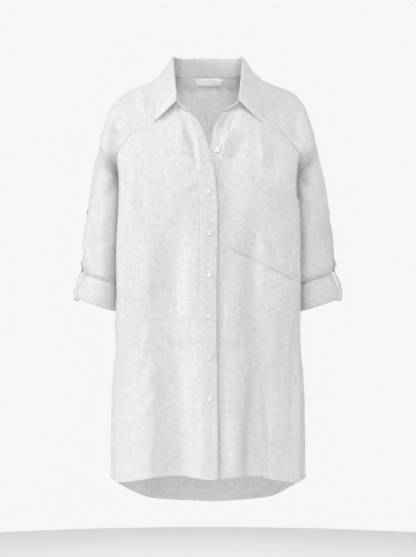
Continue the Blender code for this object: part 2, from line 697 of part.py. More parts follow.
def add_button(name, place, normal, finish, side):
    """A turned button, its foot at place: rings of points round the normal, outward and then in."""
    profile = (
        (BUTTON_RADIUS * 0.9, 0), (BUTTON_RADIUS, BUTTON_THICK * 0.4), (BUTTON_RADIUS * 0.93, BUTTON_THICK),
        (BUTTON_RADIUS * 0.74, BUTTON_THICK), (BUTTON_RADIUS * 0.6, BUTTON_THICK - BUTTON_DISH),
    )
    first = unit(np.cross(normal, (0.0, 0.0, 1.0)))
    second = np.cross(normal, first)
    turns = np.arange(BUTTON_SIDES) * 2 * math.pi / BUTTON_SIDES
    points = [
        place + normal * h + r * (first * math.cos(a) + second * math.sin(a)) for r, h in profile for a in turns
    ]
    n = BUTTON_SIDES
    faces = [tuple(range(n))[::-1], tuple(range(n * (len(profile) - 1), n * len(profile)))]
    for ring in range(len(profile) - 1):
        for k in range(n):
            a, b = ring * n + k, ring * n + (k + 1) % n
            faces.append((a, b, b + n, a + n))
    add_object(name, np.array(points), faces, finish, side)


def front_at(x, drop, side):
    """The front's surface near the bands, by distance from the centre line and depth below z 0."""
    out = 0.0 if side < 0 else -UNDERLAP
    return body(t_at_x(x, -drop), -drop, side, out)


def add_buttons(finish):
    lift = 2 * SEAM_GAP + BAND_WALL
    for number in range(BUTTON_COUNT):
        z = FIRST_BUTTON_Z - BUTTON_PITCH * number
        side = 1 if number == 0 else -1
        x = front_edge_x(z, side) + BAND_WIDTH / 2
        place, normal = frame_at(front_at, x, -z, side, lift)
        add_button(f"button_{number + 1}", place, normal, finish, side)
    for side in (-1, 1):
        for name, v, height in (
            ("strap_button", STRAP_BUTTON_V, STRAP_BUTTON_OUT),
            ("sleeve_button", SLEEVE_BUTTON_V, SEAM_GAP),
        ):
            place, normal = frame_at(sleeve_point, 0.499, v, side, height)
            add_button(side_name(name, side), place, normal, finish, side)


def add_label(finish):
    """A bare label, wider at its sewn edge, just inside the back."""
    across, down = np.linspace(-0.5, 0.5, 7)[None, :], np.linspace(0, 1, 4)[:, None]
    z = BACK_NECK_Z - LABEL_DROP - LABEL_HEIGHT * down
    x = LABEL_X + (LABEL_WIDTH + LABEL_SLANT * (1 - 2 * down)) * across
    places = np.linspace(0.8, 1.2, 81)
    t = np.array([np.interp(-a, -half_section(places, np.full(81, b))[0], places)
                  for a, b in zip(np.broadcast_to(x, (4, 7)).flat, np.broadcast_to(z, (4, 7)).flat)])
    t = t.reshape(4, 7)
    outer = body(t, z, 1, -WALL - LABEL_GAP)
    inner = body(t, z, 1, -WALL - LABEL_GAP - LABEL_WALL)
    add_object("label", *shell(outer, inner, flip=False), finish)


def main():
    clear_scene()
    linen = material("linen", LINEN, 0.85)
    pearl = material("pearl", PEARL, 0.35)
    satin = material("satin", SATIN, 0.6)
    grids = panel_grids()
    add_panels(grids, linen)
    add_bands(grids, linen)
    add_collar(linen)
    add_pocket(linen)
    add_cuffs_and_straps(linen)
    add_buttons(pearl)
    add_label(satin)


main()
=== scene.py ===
"""The looks of the oversized linen shirt: its creased cloth, seams, stitches, buttons and finishes.

Metres in the frame, +Z up, the front towards -Y and the wearer's left at +X. The tables and the
functions of the form are the part's own, in millimetres, read here on a much finer grid. Only the
corners of the front hem and the inner front of the sleeves differ a little. Both halves are drawn
in one half's own coordinates, with x positive away from the centre line, and side is +1 for the
wearer's left and -1 for the right.
"""

import math

import bpy
import numpy as np
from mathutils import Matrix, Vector


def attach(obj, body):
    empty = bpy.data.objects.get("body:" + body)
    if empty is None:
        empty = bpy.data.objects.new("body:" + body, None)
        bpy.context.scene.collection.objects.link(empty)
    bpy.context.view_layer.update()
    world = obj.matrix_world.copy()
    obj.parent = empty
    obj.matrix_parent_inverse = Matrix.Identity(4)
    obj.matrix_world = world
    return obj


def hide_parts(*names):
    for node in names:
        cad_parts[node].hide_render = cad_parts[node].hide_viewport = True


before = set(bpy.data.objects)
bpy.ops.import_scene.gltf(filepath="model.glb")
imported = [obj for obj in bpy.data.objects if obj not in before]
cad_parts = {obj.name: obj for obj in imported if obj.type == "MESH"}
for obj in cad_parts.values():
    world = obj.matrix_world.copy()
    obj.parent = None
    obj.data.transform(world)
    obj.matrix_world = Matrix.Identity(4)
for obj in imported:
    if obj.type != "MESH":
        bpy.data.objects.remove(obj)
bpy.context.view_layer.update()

MM = 0.001
# Steps to both sides of a place, to read a slope there
SMALL_STEP = 1e-3
SMALL_SHARE = 5e-3

# Cloth and seams
COLLAR_WALL = 1.6
POCKET_WALL = 1.0
STRAP_WALL = 1.4
SEAM_GAP = 0.3
HALF_GAP = 0.2

# Body: where the underarm is, and the levels of the body from the neck down
UNDERARM_Z = -196
FRONT_NECK_Z = -81
FRONT_SEAM_TOP_Z = -40
BACK_NECK_Z = 12
BACK_SEAM_TOP_Z = 10
BODY_LEVELS = {
    "z": (20, 0, -40, -80, -120, -160, -200, -260, -340, -420, -480, -560, -640, -740, -830, -900),
    "half_width": (92, 108, 160, 190, 198, 196, 189, 189, 192, 195, 196, 196, 198, 201, 201, 199),
    "front": (36, 44, 66, 88, 107, 121, 129, 134, 134, 134, 134, 134, 135, 137, 138, 138),
    "back": (74, 78, 92, 104, 112, 117, 119, 119, 120, 123, 126, 130, 133, 136, 138, 139),
    "beside_arm": (0, 0, 0, 0, 0.2, 0.7, 1, 1, 1, 0.9, 0.6, 0.2, 0, 0, 0, 0),
}
# Half a body section beside an arm, from the centre front to the centre back, as shares of the
# half width and the depth: a flat front, a soft front corner, and a side that the arm presses in
ARM_SECTION = {
    "t": (0, 0.1, 0.2, 0.3, 0.4, 0.5, 0.6, 0.7, 0.8, 0.9, 1),
    "x": (0, 0.31, 0.62, 0.915, 0.935, 0.86, 0.85, 0.80, 0.56, 0.28, 0),
    "y": (-1, -0.99, -0.94, -0.80, -0.40, 0.08, 0.50, 0.87, 0.985, 1, 1),
}
ROUND_POWER = 0.9

# Edges of the two fronts at the opening, measured from the centre line to the own side
RIGHT_EDGE = {
    "z": (-81, -97, -122, -148, -172, -210, -239, -400, -600, -850),
    "x": (37.6, 22, 9.9, 0.8, -5.1, -12.4, -15.5, -16.5, -17.2, -19),
}
LEFT_EDGE = {
    "z": (-81, -103, -114, -129, -145, -160, -200, -240, -400, -850),
    "x": (32, 16.7, 11.1, 9.3, 6.5, 1.3, -9, -12.5, -12.5, -12.5),
}
UNDERLAP = 3.2
UNDERLAP_FULL_X = 36
UNDERLAP_END_X = 80

# Raglan seams, as the share of the way round the half section at each height
FRONT_SEAM = {
    "z": (-40, -60, -86, -98, -116, -137, -156, -169, -184, -196),
    "t": (0.153, 0.172, 0.190, 0.221, 0.252, 0.281, 0.313, 0.350, 0.425, 0.5),
}
BACK_SEAM = {
    "z": (10, -30, -60, -90, -120, -150, -175, -196),
    "t": (0.80, 0.815, 0.805, 0.785, 0.75, 0.695, 0.61, 0.5),
}
HEM = {
    "t": (0, 0.1, 0.17, 0.28, 0.4, 0.5, 0.58, 0.65, 0.7, 0.76, 0.85, 1),
    "z": (-808, -804, -806, -818, -820, -823, -831, -847, -862, -876, -888, -894),
}

# Largest folds: place round the section at the foot and at the head, width, height and reach
FOLD_COLUMNS = ("side", "foot_t", "head_t", "width", "height", "head_z", "full_z")
FOLDS = (
    (-1, 0.285, 0.27, 0.085, 11, -330, -760),
    (-1, 0.120, 0.16, 0.065, -12, -250, -720),
    (-1, 0.440, 0.43, 0.050, -6, -480, -780),
    (1, 0.070, 0.08, 0.050, 6, -380, -740),
    (1, 0.168, 0.15, 0.055, -15, -330, -740),
    (1, 0.295, 0.26, 0.075, 12, -330, -760),
    (1, 0.430, 0.42, 0.050, -7, -480, -780),
    (-1, 0.640, 0.66, 0.055, 8, -360, -780),
    (-1, 0.760, 0.78, 0.060, -10, -300, -760),
    (-1, 0.880, 0.90, 0.060, 9, -200, -740),
    (1, 0.620, 0.64, 0.055, 7, -400, -780),
    (1, 0.730, 0.72, 0.055, -9, -340, -760),
    (1, 0.850, 0.87, 0.060, 10, -260, -740),
    (1, 0.960, 0.96, 0.045, -7, -200, -700),
)

# The two fronts lie flat on each other between these places, and fold freely beyond them
FOLD_FREE_T = (0.03, 0.09)

# Sleeve cap: from the neckline (v 0) to the underarm (v 1). The crest runs along the shoulder, and
# the pulls are the tangents with which the cloth leaves the two seams and the crest
CAP = {
    "v": (0, 0.15, 0.3, 0.5, 0.65, 0.8, 0.9, 1),
    "crest_x": (77, 103, 139, 179, 199, 213, 221.5, 230),
    "crest_y": (6, 7, 9, 10, 11, 12, 14, 16),
    "crest_z": (9, 0, -14, -33, -57, -99, -137, -181),
    "front_pull_x": (4, 18, 28, 34, 37, 36, 34, 30),
    "front_pull_y": (20, 18, 16, 11, 3, -14, -42, -88),
    "front_pull_z": (22, 18, 16, 13, 9, 4, 0, -4),
    "back_pull_x": (6, 20, 30, 38, 40, 38, 26, 8),
    "back_pull_y": (-18, -10, -6, -4, 2, 18, 44, 86),
    "back_pull_z": (3, 5, 8, 10, 8, 3, 0, -4),
    "crest_pull": (24, 34, 44, 58, 68, 78, 84, 88),
}
# Sleeve tube: the inner and the outer line of the arm, the half depth from front to back, and how
# far the cloth leans away from the body as it leaves the inner line
TUBE = {
    "v": (1, 1.25, 1.6, 1.85, 2, 2.25, 2.35),
    "inner_x": (163.9, 168, 173, 177, 181, 189, 192),
    "inner_y": (10.5, 17, 19, 20, 20, 20, 20),
    "inner_z": (-196.4, -262, -342, -400, -427, -479, -500),
    "outer_x": (230, 243.5, 256, 260, 259, 271, 276),
    "outer_y": (16, 16, 17, 18, 19, 20, 20),
    "outer_z": (-181, -246, -320, -376, -403, -452, -472),
    "depth": (66, 70, 69, 64, 60, 58, 58),
    "front_lean": (30, 18, 8, 2, 0, 0, 0),
    "back_lean": (8, 4, 2, 0, 0, 0, 0),
}
SLEEVE_END_V = 2.24
# Section of a rolled cuff, as height off the sleeve's face at each place along it: the outer
# layers, the turn below the sleeve's end, and a short lip inside
CUFF_SECTION = (
    (2.000, 0.5), (2.004, 2.6), (2.080, 3.8), (2.170, 3.9), (2.240, 3.2), (2.262, 1.4),
    (2.266, -1.0), (2.262, -3.0), (2.245, -3.5), (2.200, -3.5), (2.200, -1.9), (2.246, -1.9), (2.246, 0.5),
)

# Collar: the fold, from the front end round to the centre back, and the outer edge of the fall
COLLAR_FOLD = {
    "s": (0, 0.08, 0.167, 0.26, 0.35, 0.445, 0.54, 0.63, 0.72, 0.815, 0.91, 1),
    "x": (62.5, 62.5, 64, 67, 70, 71, 70, 66, 58, 41.5, 22, 0),
    "y": (-91.5, -89, -79, -63, -42, -17, 10, 33, 53.5, 64, 68, 69.5),
    "z": (-57.5, -45, -27, -1, 24, 40, 46, 48.5, 49.5, 50.5, 51.5, 52),
}
# The fall's outer edge on the yoke: q goes round from the front edge to the centre back, v is the
# distance below the neckline
FALL_EDGE = {
    "s": (0, 0.12, 0.25, 0.4, 0.55, 0.7, 0.85, 1),
    "q": (0.262, 0.30, 0.345, 0.43, 0.54, 0.68, 0.84, 1),
    "v": (0.35, 0.28, 0.215, 0.17, 0.15, 0.135, 0.122, 0.117),
}
FALL_LIFT = 2.2
FALL_TIP_LIFT = 5.0
FALL_ROLL = 0.4
FOLD_RADIUS = 2.6
# The stand runs past the fall at the front, with a rounded end. Its height is a share of the way
# from the neckline to the fold
FALL_START = 0.1
STAND_SHARE = {"s": (0, 0.25, 0.5, 0.75, 1), "share": (0.72, 0.62, 0.53, 0.48, 0.46)}
STAND_END_U = (0, 0.01, 0.03, 0.06)
STAND_END_ROUND = 0.05
STAND_END_LEAST = 0.35

# Front bands, pocket, buttons and label
BAND_WIDTH = 31
BAND_TOP_GAP = 2
FIRST_BUTTON_Z = -160
BUTTON_PITCH = 81.4
BUTTON_COUNT = 7
BUTTON_RADIUS = 5.7
BUTTON_THICK = 2.4
BUTTON_DISH = 0.7
POCKET_CORNER_S = 108
POCKET_CORNER_Z = -216
POCKET_WIDTH = 145
POCKET_HEIGHT = 150
POCKET_TILT = math.radians(26)
LABEL_WIDTH = 56
LABEL_HEIGHT = 15
LABEL_SLANT = 9
LABEL_X = 1
LABEL_DROP = 2
LABEL_GAP = 0.6

# Sleeve straps, on the outer line of the arm: from the buttoned end, over the cuff, round its foot
# and up the inside to the end that is sewn on. The width is a share of the way round the sleeve
STRAP_PATH = {
    "v": (
        1.835, 1.90, 1.96, 2.01, 2.07, 2.14, 2.21, 2.265, 2.286,
        2.286, 2.262, 2.18, 2.08, 2.0, 1.92, 1.80, 1.58, 1.36,
    ),
    "height": (
        1.9, 2.1, 3.6, 7, 9.8, 11, 10, 7, 2.4,
        -2.4, -5.4, -5.6, -4.8, -4.4, -4.2, -4.0, -4.0, -4.0,
    ),
}
STRAP_HALF_WIDTH = 0.034
STRAP_BUTTON_V = 1.878
SLEEVE_BUTTON_V = 1.385

# How finely the cloth is drawn
CLOTH_WALL = 0.9
CAP_ROWS = 46
TAIL_ROWS = 150
TUBE_ROWS = 70
FRONT_MIDDLE = 58
BACK_MIDDLE = 70
SLEEVE_MIDDLE = 60
COLLAR_COLUMNS = 84
# Distances from an edge that get a column or a row of their own, so that stitching can sink in
SEAM_STEPS = (0, 0.9, 2.0, 3.6, 4.8, 5.6, 6.4, 7.6, 9.5)
BAND_STEPS = (
    0, 0.8, 1.9, 2.8, 3.7, 5.5, 9, 12.5, 14.9, 15.5, 16,
    16.5, 17.1, 19.5, 23, 26, 27.2, 28.2, 29.2, 30.2, 31,
)
BESIDE_BAND_STEPS = (32, 33.2, 34.6, 36.5, 40)
HEM_STEPS = (0, 0.8, 2.2, 3.6, 4.4, 5.0, 5.6, 6.4, 7.4, 9.4)

# Creases of the two fronts: places along the cloth from the centre line, wearer's left positive,
# and heights above the origin. A height below 0 is a trough; peak is where along it it is deepest,
# bow how far its middle is off the straight line, and lean how much softer its second side is
CREASE_COLUMNS = ("x0", "z0", "x1", "z1", "width", "height", "peak", "bow", "lean")
FRONT_CREASES = (
    (-58, -84, -20, -212, 8, -4.6, 0.45, 8, 1.6),
    (-44, -84, -15, -236, 6, 3.4, 0.5, 9, 1.3),
    (-70, -104, -44, -190, 10, 2.6, 0.4, 4, 1.5),
    (62, -66, 15, -142, 7, -4.4, 0.45, -5, 1.7),
    (60, -100, 24, -196, 7, 3.6, 0.4, -5, 1.4),
    (84, -116, 44, -206, 9, -2.4, 0.4, -6, 1.5),
    (127, -112, 129, -222, 9, -3.2, 0.55, 3, 1.6),
    (106, -108, 112, -206, 9, 2.2, 0.5, 2, 1.4),
    (12, -226, 96, -218, 4.0, 1.5, 0.12, -14, 1.6),
    (12, -230, 74, -252, 4.5, -1.3, 0.12, -8, 1.6),
    (-14, -222, -84, -232, 4.5, 1.4, 0.15, 7, 1.5),
    (-14, -232, -66, -256, 5.0, -1.2, 0.15, 6, 1.5),
    (-62, -230, -62, -520, 26, -6.4, 0.6, -3, 1.0),
    (-126, -250, -128, -520, 20, 3.0, 0.5, 3, 1.2),
    (-62, -400, -62, -680, 24, -3.6, 0.6, 3, 1.0),
    (-60, -420, -60, -1000, 26, -17.0, 0.72, 2, 1.6),
    (-120, -340, -120, -1000, 24, 6.4, 0.72, 2, 1.0),
    (-104, -470, -146, -560, 5, 1.2, 0.5, 5, 1.5),
    (-98, -530, -150, -640, 5, -1.3, 0.4, -7, 1.5),
    (-92, -610, -160, -700, 5, 1.1, 0.4, 9, 1.5),
    (-40, -300, -46, -520, 12, 1.6, 0.5, 5, 1.4),
    (-28, -560, -34, -800, 9, -1.6, 0.7, 3, 1.4),
    (92, -250, 92, -640, 27, -7.4, 0.45, -2, 0.6),
    (34, -360, 30, -600, 10, 1.8, 0.5, 4, 1.4),
    (99, -470, 99, -1000, 29, -14.0, 0.72, -2, 0.8),
    (128, -440, 130, -1000, 17, 7.0, 0.72, 2, 1.3),
    (42, -520, 44, -806, 18, 3.0, 0.7, -3, 1.0),
    (150, -440, 158, -640, 10, -2.6, 0.6, -5, 1.7),
    (178, -480, 178, -822, 13, -5.4, 0.7, 4, 1.3),
    (-186, -560, -182, -822, 12, -3.4, 0.75, -5, 1.6),
    (200, -420, 206, -812, 14, 4.4, 0.6, 5, 1.1),
    (-212, -420, -214, -800, 13, 2.6, 0.6, -5, 1.4),
    (250, -300, 262, -640, 12, -3.2, 0.5, 8, 1.6),
    (-252, -320, -262, -660, 12, -3.0, 0.5, -8, 1.6),
    (-130, -722, -186, -742, 4.2, 1.1, 0.5, 6, 1.4),
    (-128, -752, -192, -770, 4.2, -1.0, 0.5, 7, 1.4),
    (-124, -780, -188, -794, 4.2, 1.0, 0.5, 6, 1.4),
    (112, -724, 158, -738, 4.2, 1.0, 0.5, -6, 1.4),
    (110, -752, 156, -770, 4.2, -1.0, 0.5, -6, 1.4),
    (-170, -196, -104, -238, 6, 1.7, 0.3, 7, 1.5),
    (-176, -222, -112, -292, 7, -1.9, 0.3, 9, 1.6),
    (176, -200, 150, -252, 6, -1.8, 0.3, 5, 1.6),
)
# Creases on the pocket only, at the same kind of places
POCKET_CREASES = (
    (72, -300, 82, -350, 7, -2.2, 0.5, 2, 1.5),
    (98, -306, 126, -388, 6, 1.9, 0.5, -3, 1.5),
    (122, -340, 141, -398, 5, -1.7, 0.5, -2, 1.5),
    (140, -352, 168, -416, 6, 1.6, 0.5, -3, 1.5),
    (112, -240, 120, -296, 8, 1.1, 0.5, 3, 1.4),
    (150, -262, 156, -344, 7, -1.3, 0.5, 3, 1.4),
)
# Creases of the back: the same columns, with x along the cloth from the centre back
BACK_CREASES = (
    (-14, -24, -6, -150, 9, 2.6, 0.4, 3, 1.4),
    (16, -30, 12, -170, 10, -2.2, 0.4, -3, 1.5),
    (-44, -20, -58, -140, 9, -2.4, 0.4, 5, 1.5),
    (50, -16, 64, -130, 9, 2.0, 0.4, -5, 1.5),
    (-96, -30, -120, -250, 11, 3.2, 0.5, -9, 1.5),
    (104, -40, 132, -280, 11, -3.6, 0.5, 10, 1.6),
    (-74, -150, -88, -420, 13, -3.6, 0.5, 7, 1.5),
    (76, -200, 70, -470, 13, 3.4, 0.5, -6, 1.5),
    (-28, -190, -20, -480, 14, 2.6, 0.5, 5, 1.4),
    (22, -260, 30, -560, 12, -3.0, 0.5, -5, 1.6),
    (-130, -330, -118, -640, 13, -4.0, 0.6, -7, 1.7),
    (138, -360, 126, -700, 13, 4.0, 0.6, 8, 1.5),
    (-60, -470, -48, -880, 12, -4.6, 0.7, 6, 1.8),
    (-18, -560, -12, -886, 12, 3.2, 0.7, -5, 1.4),
    (44, -520, 56, -884, 11, -4.8, 0.75, 5, 1.8),
    (92, -560, 86, -880, 12, 3.4, 0.7, -6, 1.4),
    (-100, -600, -112, -872, 11, 3.0, 0.7, 5, 1.4),
    (-164, -480, -176, -846, 12, -4.0, 0.7, 6, 1.7),
    (170, -440, 182, -850, 12, -4.2, 0.7, -6, 1.7),
    (-220, -300, -232, -720, 13, 3.2, 0.5, 7, 1.5),
    (222, -340, 236, -740, 13, 3.0, 0.5, -7, 1.5),
    (-190, -208, -108, -262, 7, 2.0, 0.25, 9, 1.5),
    (-196, -232, -124, -322, 8, -2.2, 0.25, 12, 1.6),
    (188, -212, 112, -254, 7, -2.0, 0.25, -9, 1.5),
    (196, -240, 130, -336, 8, 2.0, 0.25, -12, 1.6),
    (-40, -700, -86, -742, 5, 1.1, 0.5, 5, 1.4),
    (98, -660, 146, -720, 5, -1.2, 0.5, 6, 1.4),
    (-150, -420, -186, -520, 6, 1.4, 0.5, 6, 1.5),
)
# Creases of the sleeves. The place is front, back or outer; x is away from the centre line on the
# front and back, and towards the back on the outer side
SLEEVE_CREASES = (
    (-1, "front", 222, -276, 219, -418, 6.5, -4.2, 0.6, 11, 1.8),
    (-1, "front", 205, -262, 206, -410, 8, 2.4, 0.5, 5, 1.4),
    (-1, "front", 194, -380, 184, -424, 5, -2.6, 0.7, -2, 1.6),
    (-1, "front", 236, -250, 246, -400, 7, 2.0, 0.5, 5, 1.4),
    (-1, "front", 146, -30, 150, -66, 7, -2.4, 0.5, 2, 1.5),
    (-1, "front", 129, -28, 131, -88, 6, 2.2, 0.5, -3, 1.4),
    (-1, "front", 186, -74, 166, -136, 8, -2.8, 0.5, 7, 1.6),
    (-1, "front", 200, -96, 192, -190, 8, 2.2, 0.5, 6, 1.5),
    (-1, "front", 192, -160, 184, -226, 7, -2.4, 0.5, -4, 1.6),
    (-1, "front", 186, -196, 236, -226, 6, 1.7, 0.25, -6, 1.5),
    (-1, "front", 184, -214, 232, -262, 6, -1.8, 0.25, -8, 1.6),
    (-1, "front", 190, -330, 226, -364, 6, 1.4, 0.35, -6, 1.5),
    (1, "front", 227, -284, 221, -384, 6.5, -3.4, 0.5, 7, 1.8),
    (1, "front", 206, -154, 214, -216, 7, -2.2, 0.5, 4, 1.6),
    (1, "front", 210, -268, 206, -414, 8, 2.2, 0.5, -5, 1.4),
    (1, "front", 128, -30, 137, -82, 7, -2.8, 0.5, 3, 1.6),
    (1, "front", 150, -52, 158, -122, 7, 2.4, 0.5, -4, 1.4),
    (1, "front", 174, -76, 166, -150, 8, -2.2, 0.5, 5, 1.6),
    (1, "front", 194, -120, 188, -202, 7, 1.9, 0.5, -5, 1.4),
    (1, "front", 186, -204, 234, -244, 6, -1.8, 0.25, -8, 1.6),
    (1, "front", 190, -226, 232, -286, 6, 1.6, 0.25, -8, 1.5),
    (1, "front", 242, -300, 250, -410, 7, -1.8, 0.5, 4, 1.5),
    (-1, "back", 212, -260, 216, -416, 7, -3.6, 0.5, 8, 1.7),
    (-1, "back", 232, -240, 240, -400, 8, 2.4, 0.5, -6, 1.4),
    (-1, "back", 150, -34, 172, -120, 9, -2.6, 0.5, 6, 1.6),
    (-1, "back", 184, -206, 234, -252, 7, 1.9, 0.25, -8, 1.5),
    (-1, "back", 190, -330, 236, -376, 6, -1.6, 0.35, -7, 1.5),
    (-1, "back", 176, -60, 196, -170, 9, 2.2, 0.5, 6, 1.4),
    (1, "back", 216, -270, 208, -410, 7, -3.2, 0.5, -7, 1.7),
    (1, "back", 238, -250, 246, -404, 8, 2.2, 0.5, 6, 1.4),
    (1, "back", 140, -30, 160, -124, 9, 2.4, 0.5, -6, 1.5),
    (1, "back", 184, -210, 238, -268, 7, -2.0, 0.25, 9, 1.5),
    (1, "back", 192, -320, 240, -352, 6, 1.5, 0.35, 6, 1.5),
    (1, "back", 182, -70, 198, -176, 9, -2.4, 0.5, -6, 1.6),
    (-1, "outer", -14, -120, -22, -330, 9, -2.6, 0.5, 8, 1.6),
    (-1, "outer", 22, -90, 34, -300, 9, 2.4, 0.5, -7, 1.4),
    (-1, "outer", 44, -250, 30, -410, 8, -2.8, 0.6, 6, 1.6),
    (-1, "outer", -34, -250, -30, -412, 8, 2.0, 0.5, -6, 1.4),
    (1, "outer", -12, -130, -20, -320, 9, 2.4, 0.5, -8, 1.5),
    (1, "outer", 26, -100, 36, -310, 9, -2.6, 0.5, 7, 1.6),
    (1, "outer", 46, -240, 34, -410, 8, 2.4, 0.6, -6, 1.4),
    (1, "outer", -36, -240, -30, -412, 8, -2.4, 0.5, 6, 1.6),
)
# Strength of the creases, and heights of the small crumpling all over the garment
CREASE_STRENGTH = 1.35
SLEEVE_STRENGTH = 1.6
CRUMPLE_SOFT = 2.1
CRUMPLE_RIDGE = 1.25
CRUMPLE_FINE = 0.5
CRUMPLE_EDGE_SHARE = 0.4
# The sleeve swells above its cuff and tucks in under it
CUFF_SWELL = 2.0
CUFF_TUCK = 3.6

# The sleeve's inner front stands forward of the solid's, so that it faces the eye up to the body
INNER_FULLNESS = 5.0

# Seams and hems
PUCKER = 0.5
PUCKER_PITCH = 13
PUCKER_REACH = 9
SEAM_LAYER = 0.35
SEAM_DIP = 0.7
STITCH_SINK = 0.3
SEAM_STITCH_AT = 5.6
HEM_LAYER = 0.55
# The right front lifts at its free edge, and the left front dips in the edge's shade
FREE_EDGE_LIFT = 1.4
FREE_EDGE_SHADE = 3.4
BESIDE_BAND_DIP = 0.8
FRONT_HEM = 5.0
BACK_HEM = 7.4

# Stitches
STITCH_PITCH = 3.4
STITCH_LENGTH = 2.5
STITCH_WIDTH = 0.55
STITCH_RISE = 0.34

# Noises of the cloth: height, the length of a wave each way, and seed
NOISES = {
    "wander_a": (10, 47, 58, 0),
    "wander_b": (9, 52, 49, 1),
    "soft": (1, 54, 84, 2),
    "ridge": (1, 36, 57, 3),
    "slant": (1, 31, 60, 4),
    "fine": (1, 14, 21, 5),
    "patch": (0.45, 120, 120, 6),
    "crease_x": (3.2, 26, 34, 71),
    "crease_z": (4, 31, 40, 72),
    "seam_pull": (PUCKER, PUCKER_PITCH / 2, 30, 0),
    "hem_pull": (1.5 * PUCKER, 7.5, 26, 0),
    "band_swell": (0.6, 23, 15, 41),
    "band_ripple": (1, 5.2, 24, 31),
    "stand_face": (0.22, 11, 9, 51),
    "stand_wall": (1, 12, 10, 52),
    "fall_wide": (0.75, 27, 21, 53),
    "fall_narrow": (0.35, 11, 12, 54),
    "pocket_pull": (1, 6, 20, 62),
    "cuff_wrinkle": (0.75, 8.5, 1 / 9, 81),
    "cuff_fine": (0.4, 4.3, 1 / 14, 82),
    "cuff_slack": (0.8, 31, 1 / 6, 85),
    "strap": (0.2, 1 / 1.7, 1, 91),
    "label": (0.15, 9, 6, 95),
}
# Stretches down a sleeve, or round it for the outer one: where each starts, is full, leaves and ends
SPANS = {
    "inner": (1.04, 1.25, 1.86, 1.97),
    "outer": (0.28, 0.4, 0.6, 0.72),
    "swell": (1.78, 1.9, 1.9, 1.99),
    "tuck": (1.95, 1.995, 2.03, 2.12),
    "cuff_face": (2.0, 2.03, 2.22, 2.26),
    "cuff_layer": (2.075, 2.083, 2.2, 2.24),
    "strap_loose": (1.96, 2.06, 2.2, 2.28),
}
SIDES = (-1, 1)
LATTICE = 64
RIDGE_TOP = 0.4
RIDGE_SLANT = 0.8
SPREAD_FINE = 241
SHARP_ANGLE = math.radians(50)

# How far along the cloth the crumpling starts from the centre line
CLOTH_SHIFT = 600
# Seeds of the crumpling of each panel and of the puckers at each seam. The left side adds its own
LEFT_SEED = 5
CLOTH_SEED = 7
FRONT_HEM_SEED = 27
BACK_HEM_SEED = 28
BACK_SEED = 47
POCKET_SEED = 61
SLEEVE_SEED = 67
FRONT_RAGLAN_SEED = 101
BACK_RAGLAN_SEED = 121
SIDE_SEAM_SEED = 141
UNDERARM_SEED = 161

# Seams and hems: widths of the grooves at stitches, and how far the cloth is calm beside an edge
GROOVE = 0.8
ROW_GROOVE = 0.9
HEM_ROW_GROOVE = 1.1
SEAM_DIP_WIDTH = 1.2
SEAM_CALM = 13
NECK_CALM = 9
BAND_CALM = 15
HEM_STITCH_IN = 0.8
HEM_SINK = 1.4 * STITCH_SINK
HEM_GROOVE = 0.7
HEM_REACH = 17
HEM_WALL = 0.6
BESIDE_BAND_AT = 2.2
BESIDE_BAND_WIDTH = 1.5
FREE_EDGE_FROM = (156, 206)
FREE_EDGE_REACH = 11
FREE_EDGE_SHADE_AT = 1.2
FREE_EDGE_SHADE_WIDTH = 2.7
INNER_AT = 0.1
INNER_WIDTH = 0.075
SLEEVE_TURN = (0.44, 0.56)
UNDER_CUFF = (1.93, 2.0)

# Bands and their buttonholes
BAND_CLOTH = 1.0
BAND_STITCHES = (2.8, 28.3)
BAND_SOFT = 5
BAND_SWELL = 0.35
BAND_SINK = 0.38
BAND_RIPPLE = 0.16
BAND_LEAST = -0.45
BAND_MIDDLE = 16
BUTTON_HEIGHTS = [FIRST_BUTTON_Z - BUTTON_PITCH * number for number in range(BUTTON_COUNT)]
BUTTON_REACH = 16
BUTTON_RIPPLE = 0.3
# The open buttonhole's slit, and how far its dent reaches
SLIT_DEPTH = 1.1
SLIT_WIDTH = 1.0
SLIT_IN, SLIT_OUT = 3, 1
SLIT_HALF = 0.25
BUTTONHOLE_LENGTH = 15
BUTTONHOLE_WIDTH = 2.6
BUTTONHOLE_PITCH = 0.75
BUTTONHOLE_TACK = 0.35
TACK_LENGTH = 1.2
SMALL_LENGTH = 0.1
BUTTONHOLE_SIZE = (0.62, 0.36)

# Collar
STAND_ROWS = 9
STAND_STITCH = 3.0
STAND_SINK = 0.22
STAND_THIN = 0.2
FALL_STAND_ROWS = 6
FALL_TURN = (0, 15, 30, 45, 60, 75, 90, 105, 120, 135)
FALL_LEAF_ROWS = 26
FALL_SWELL = 0.25
FALL_SINK = 0.35
FALL_RIM_DIP = 0.3
FALL_THIN = 0.5
THIN_WIDTH = 1.2
FALL_TIP_TO = 0.25
FALL_ROLL_TO = 0.5
LEAF_SOFT = 14
RIM_SHARE = 0.35
RIM_SOFT = 10
COLLAR_EDGE = 5.2
COLLAR_PLACES = np.linspace(FALL_START, 1, COLLAR_COLUMNS + 1)

# Pocket
POCKET_MIDDLE = 46
POCKET_STEPS = (0, 0.8, 1.8, 2.8, 4, 5.8, 7, 8.2, 10)
POCKET_HEM_STEPS = (0, 0.9, 4, 8, 12, 15.5, 17.7, 18.8, 19.9, 21.2, 23)
POCKET_ROWS = (1.8, 7)
POCKET_OFF = 0.6
POCKET_SLACK = 1.3
POCKET_SOFT = 16
POCKET_LAYER = 0.45
POCKET_LAYER_SOFT = 1.4
POCKET_RIM_SOFT = 2
POCKET_CRUMPLE = 0.5
POCKET_RIM = 0.6
POCKET_SINK = 0.5
POCKET_PULL = 0.35
POCKET_PULL_REACH = 8
POCKET_HEM = 20
POCKET_HEM_STITCH = 1.2
POCKET_SHIFT = 400

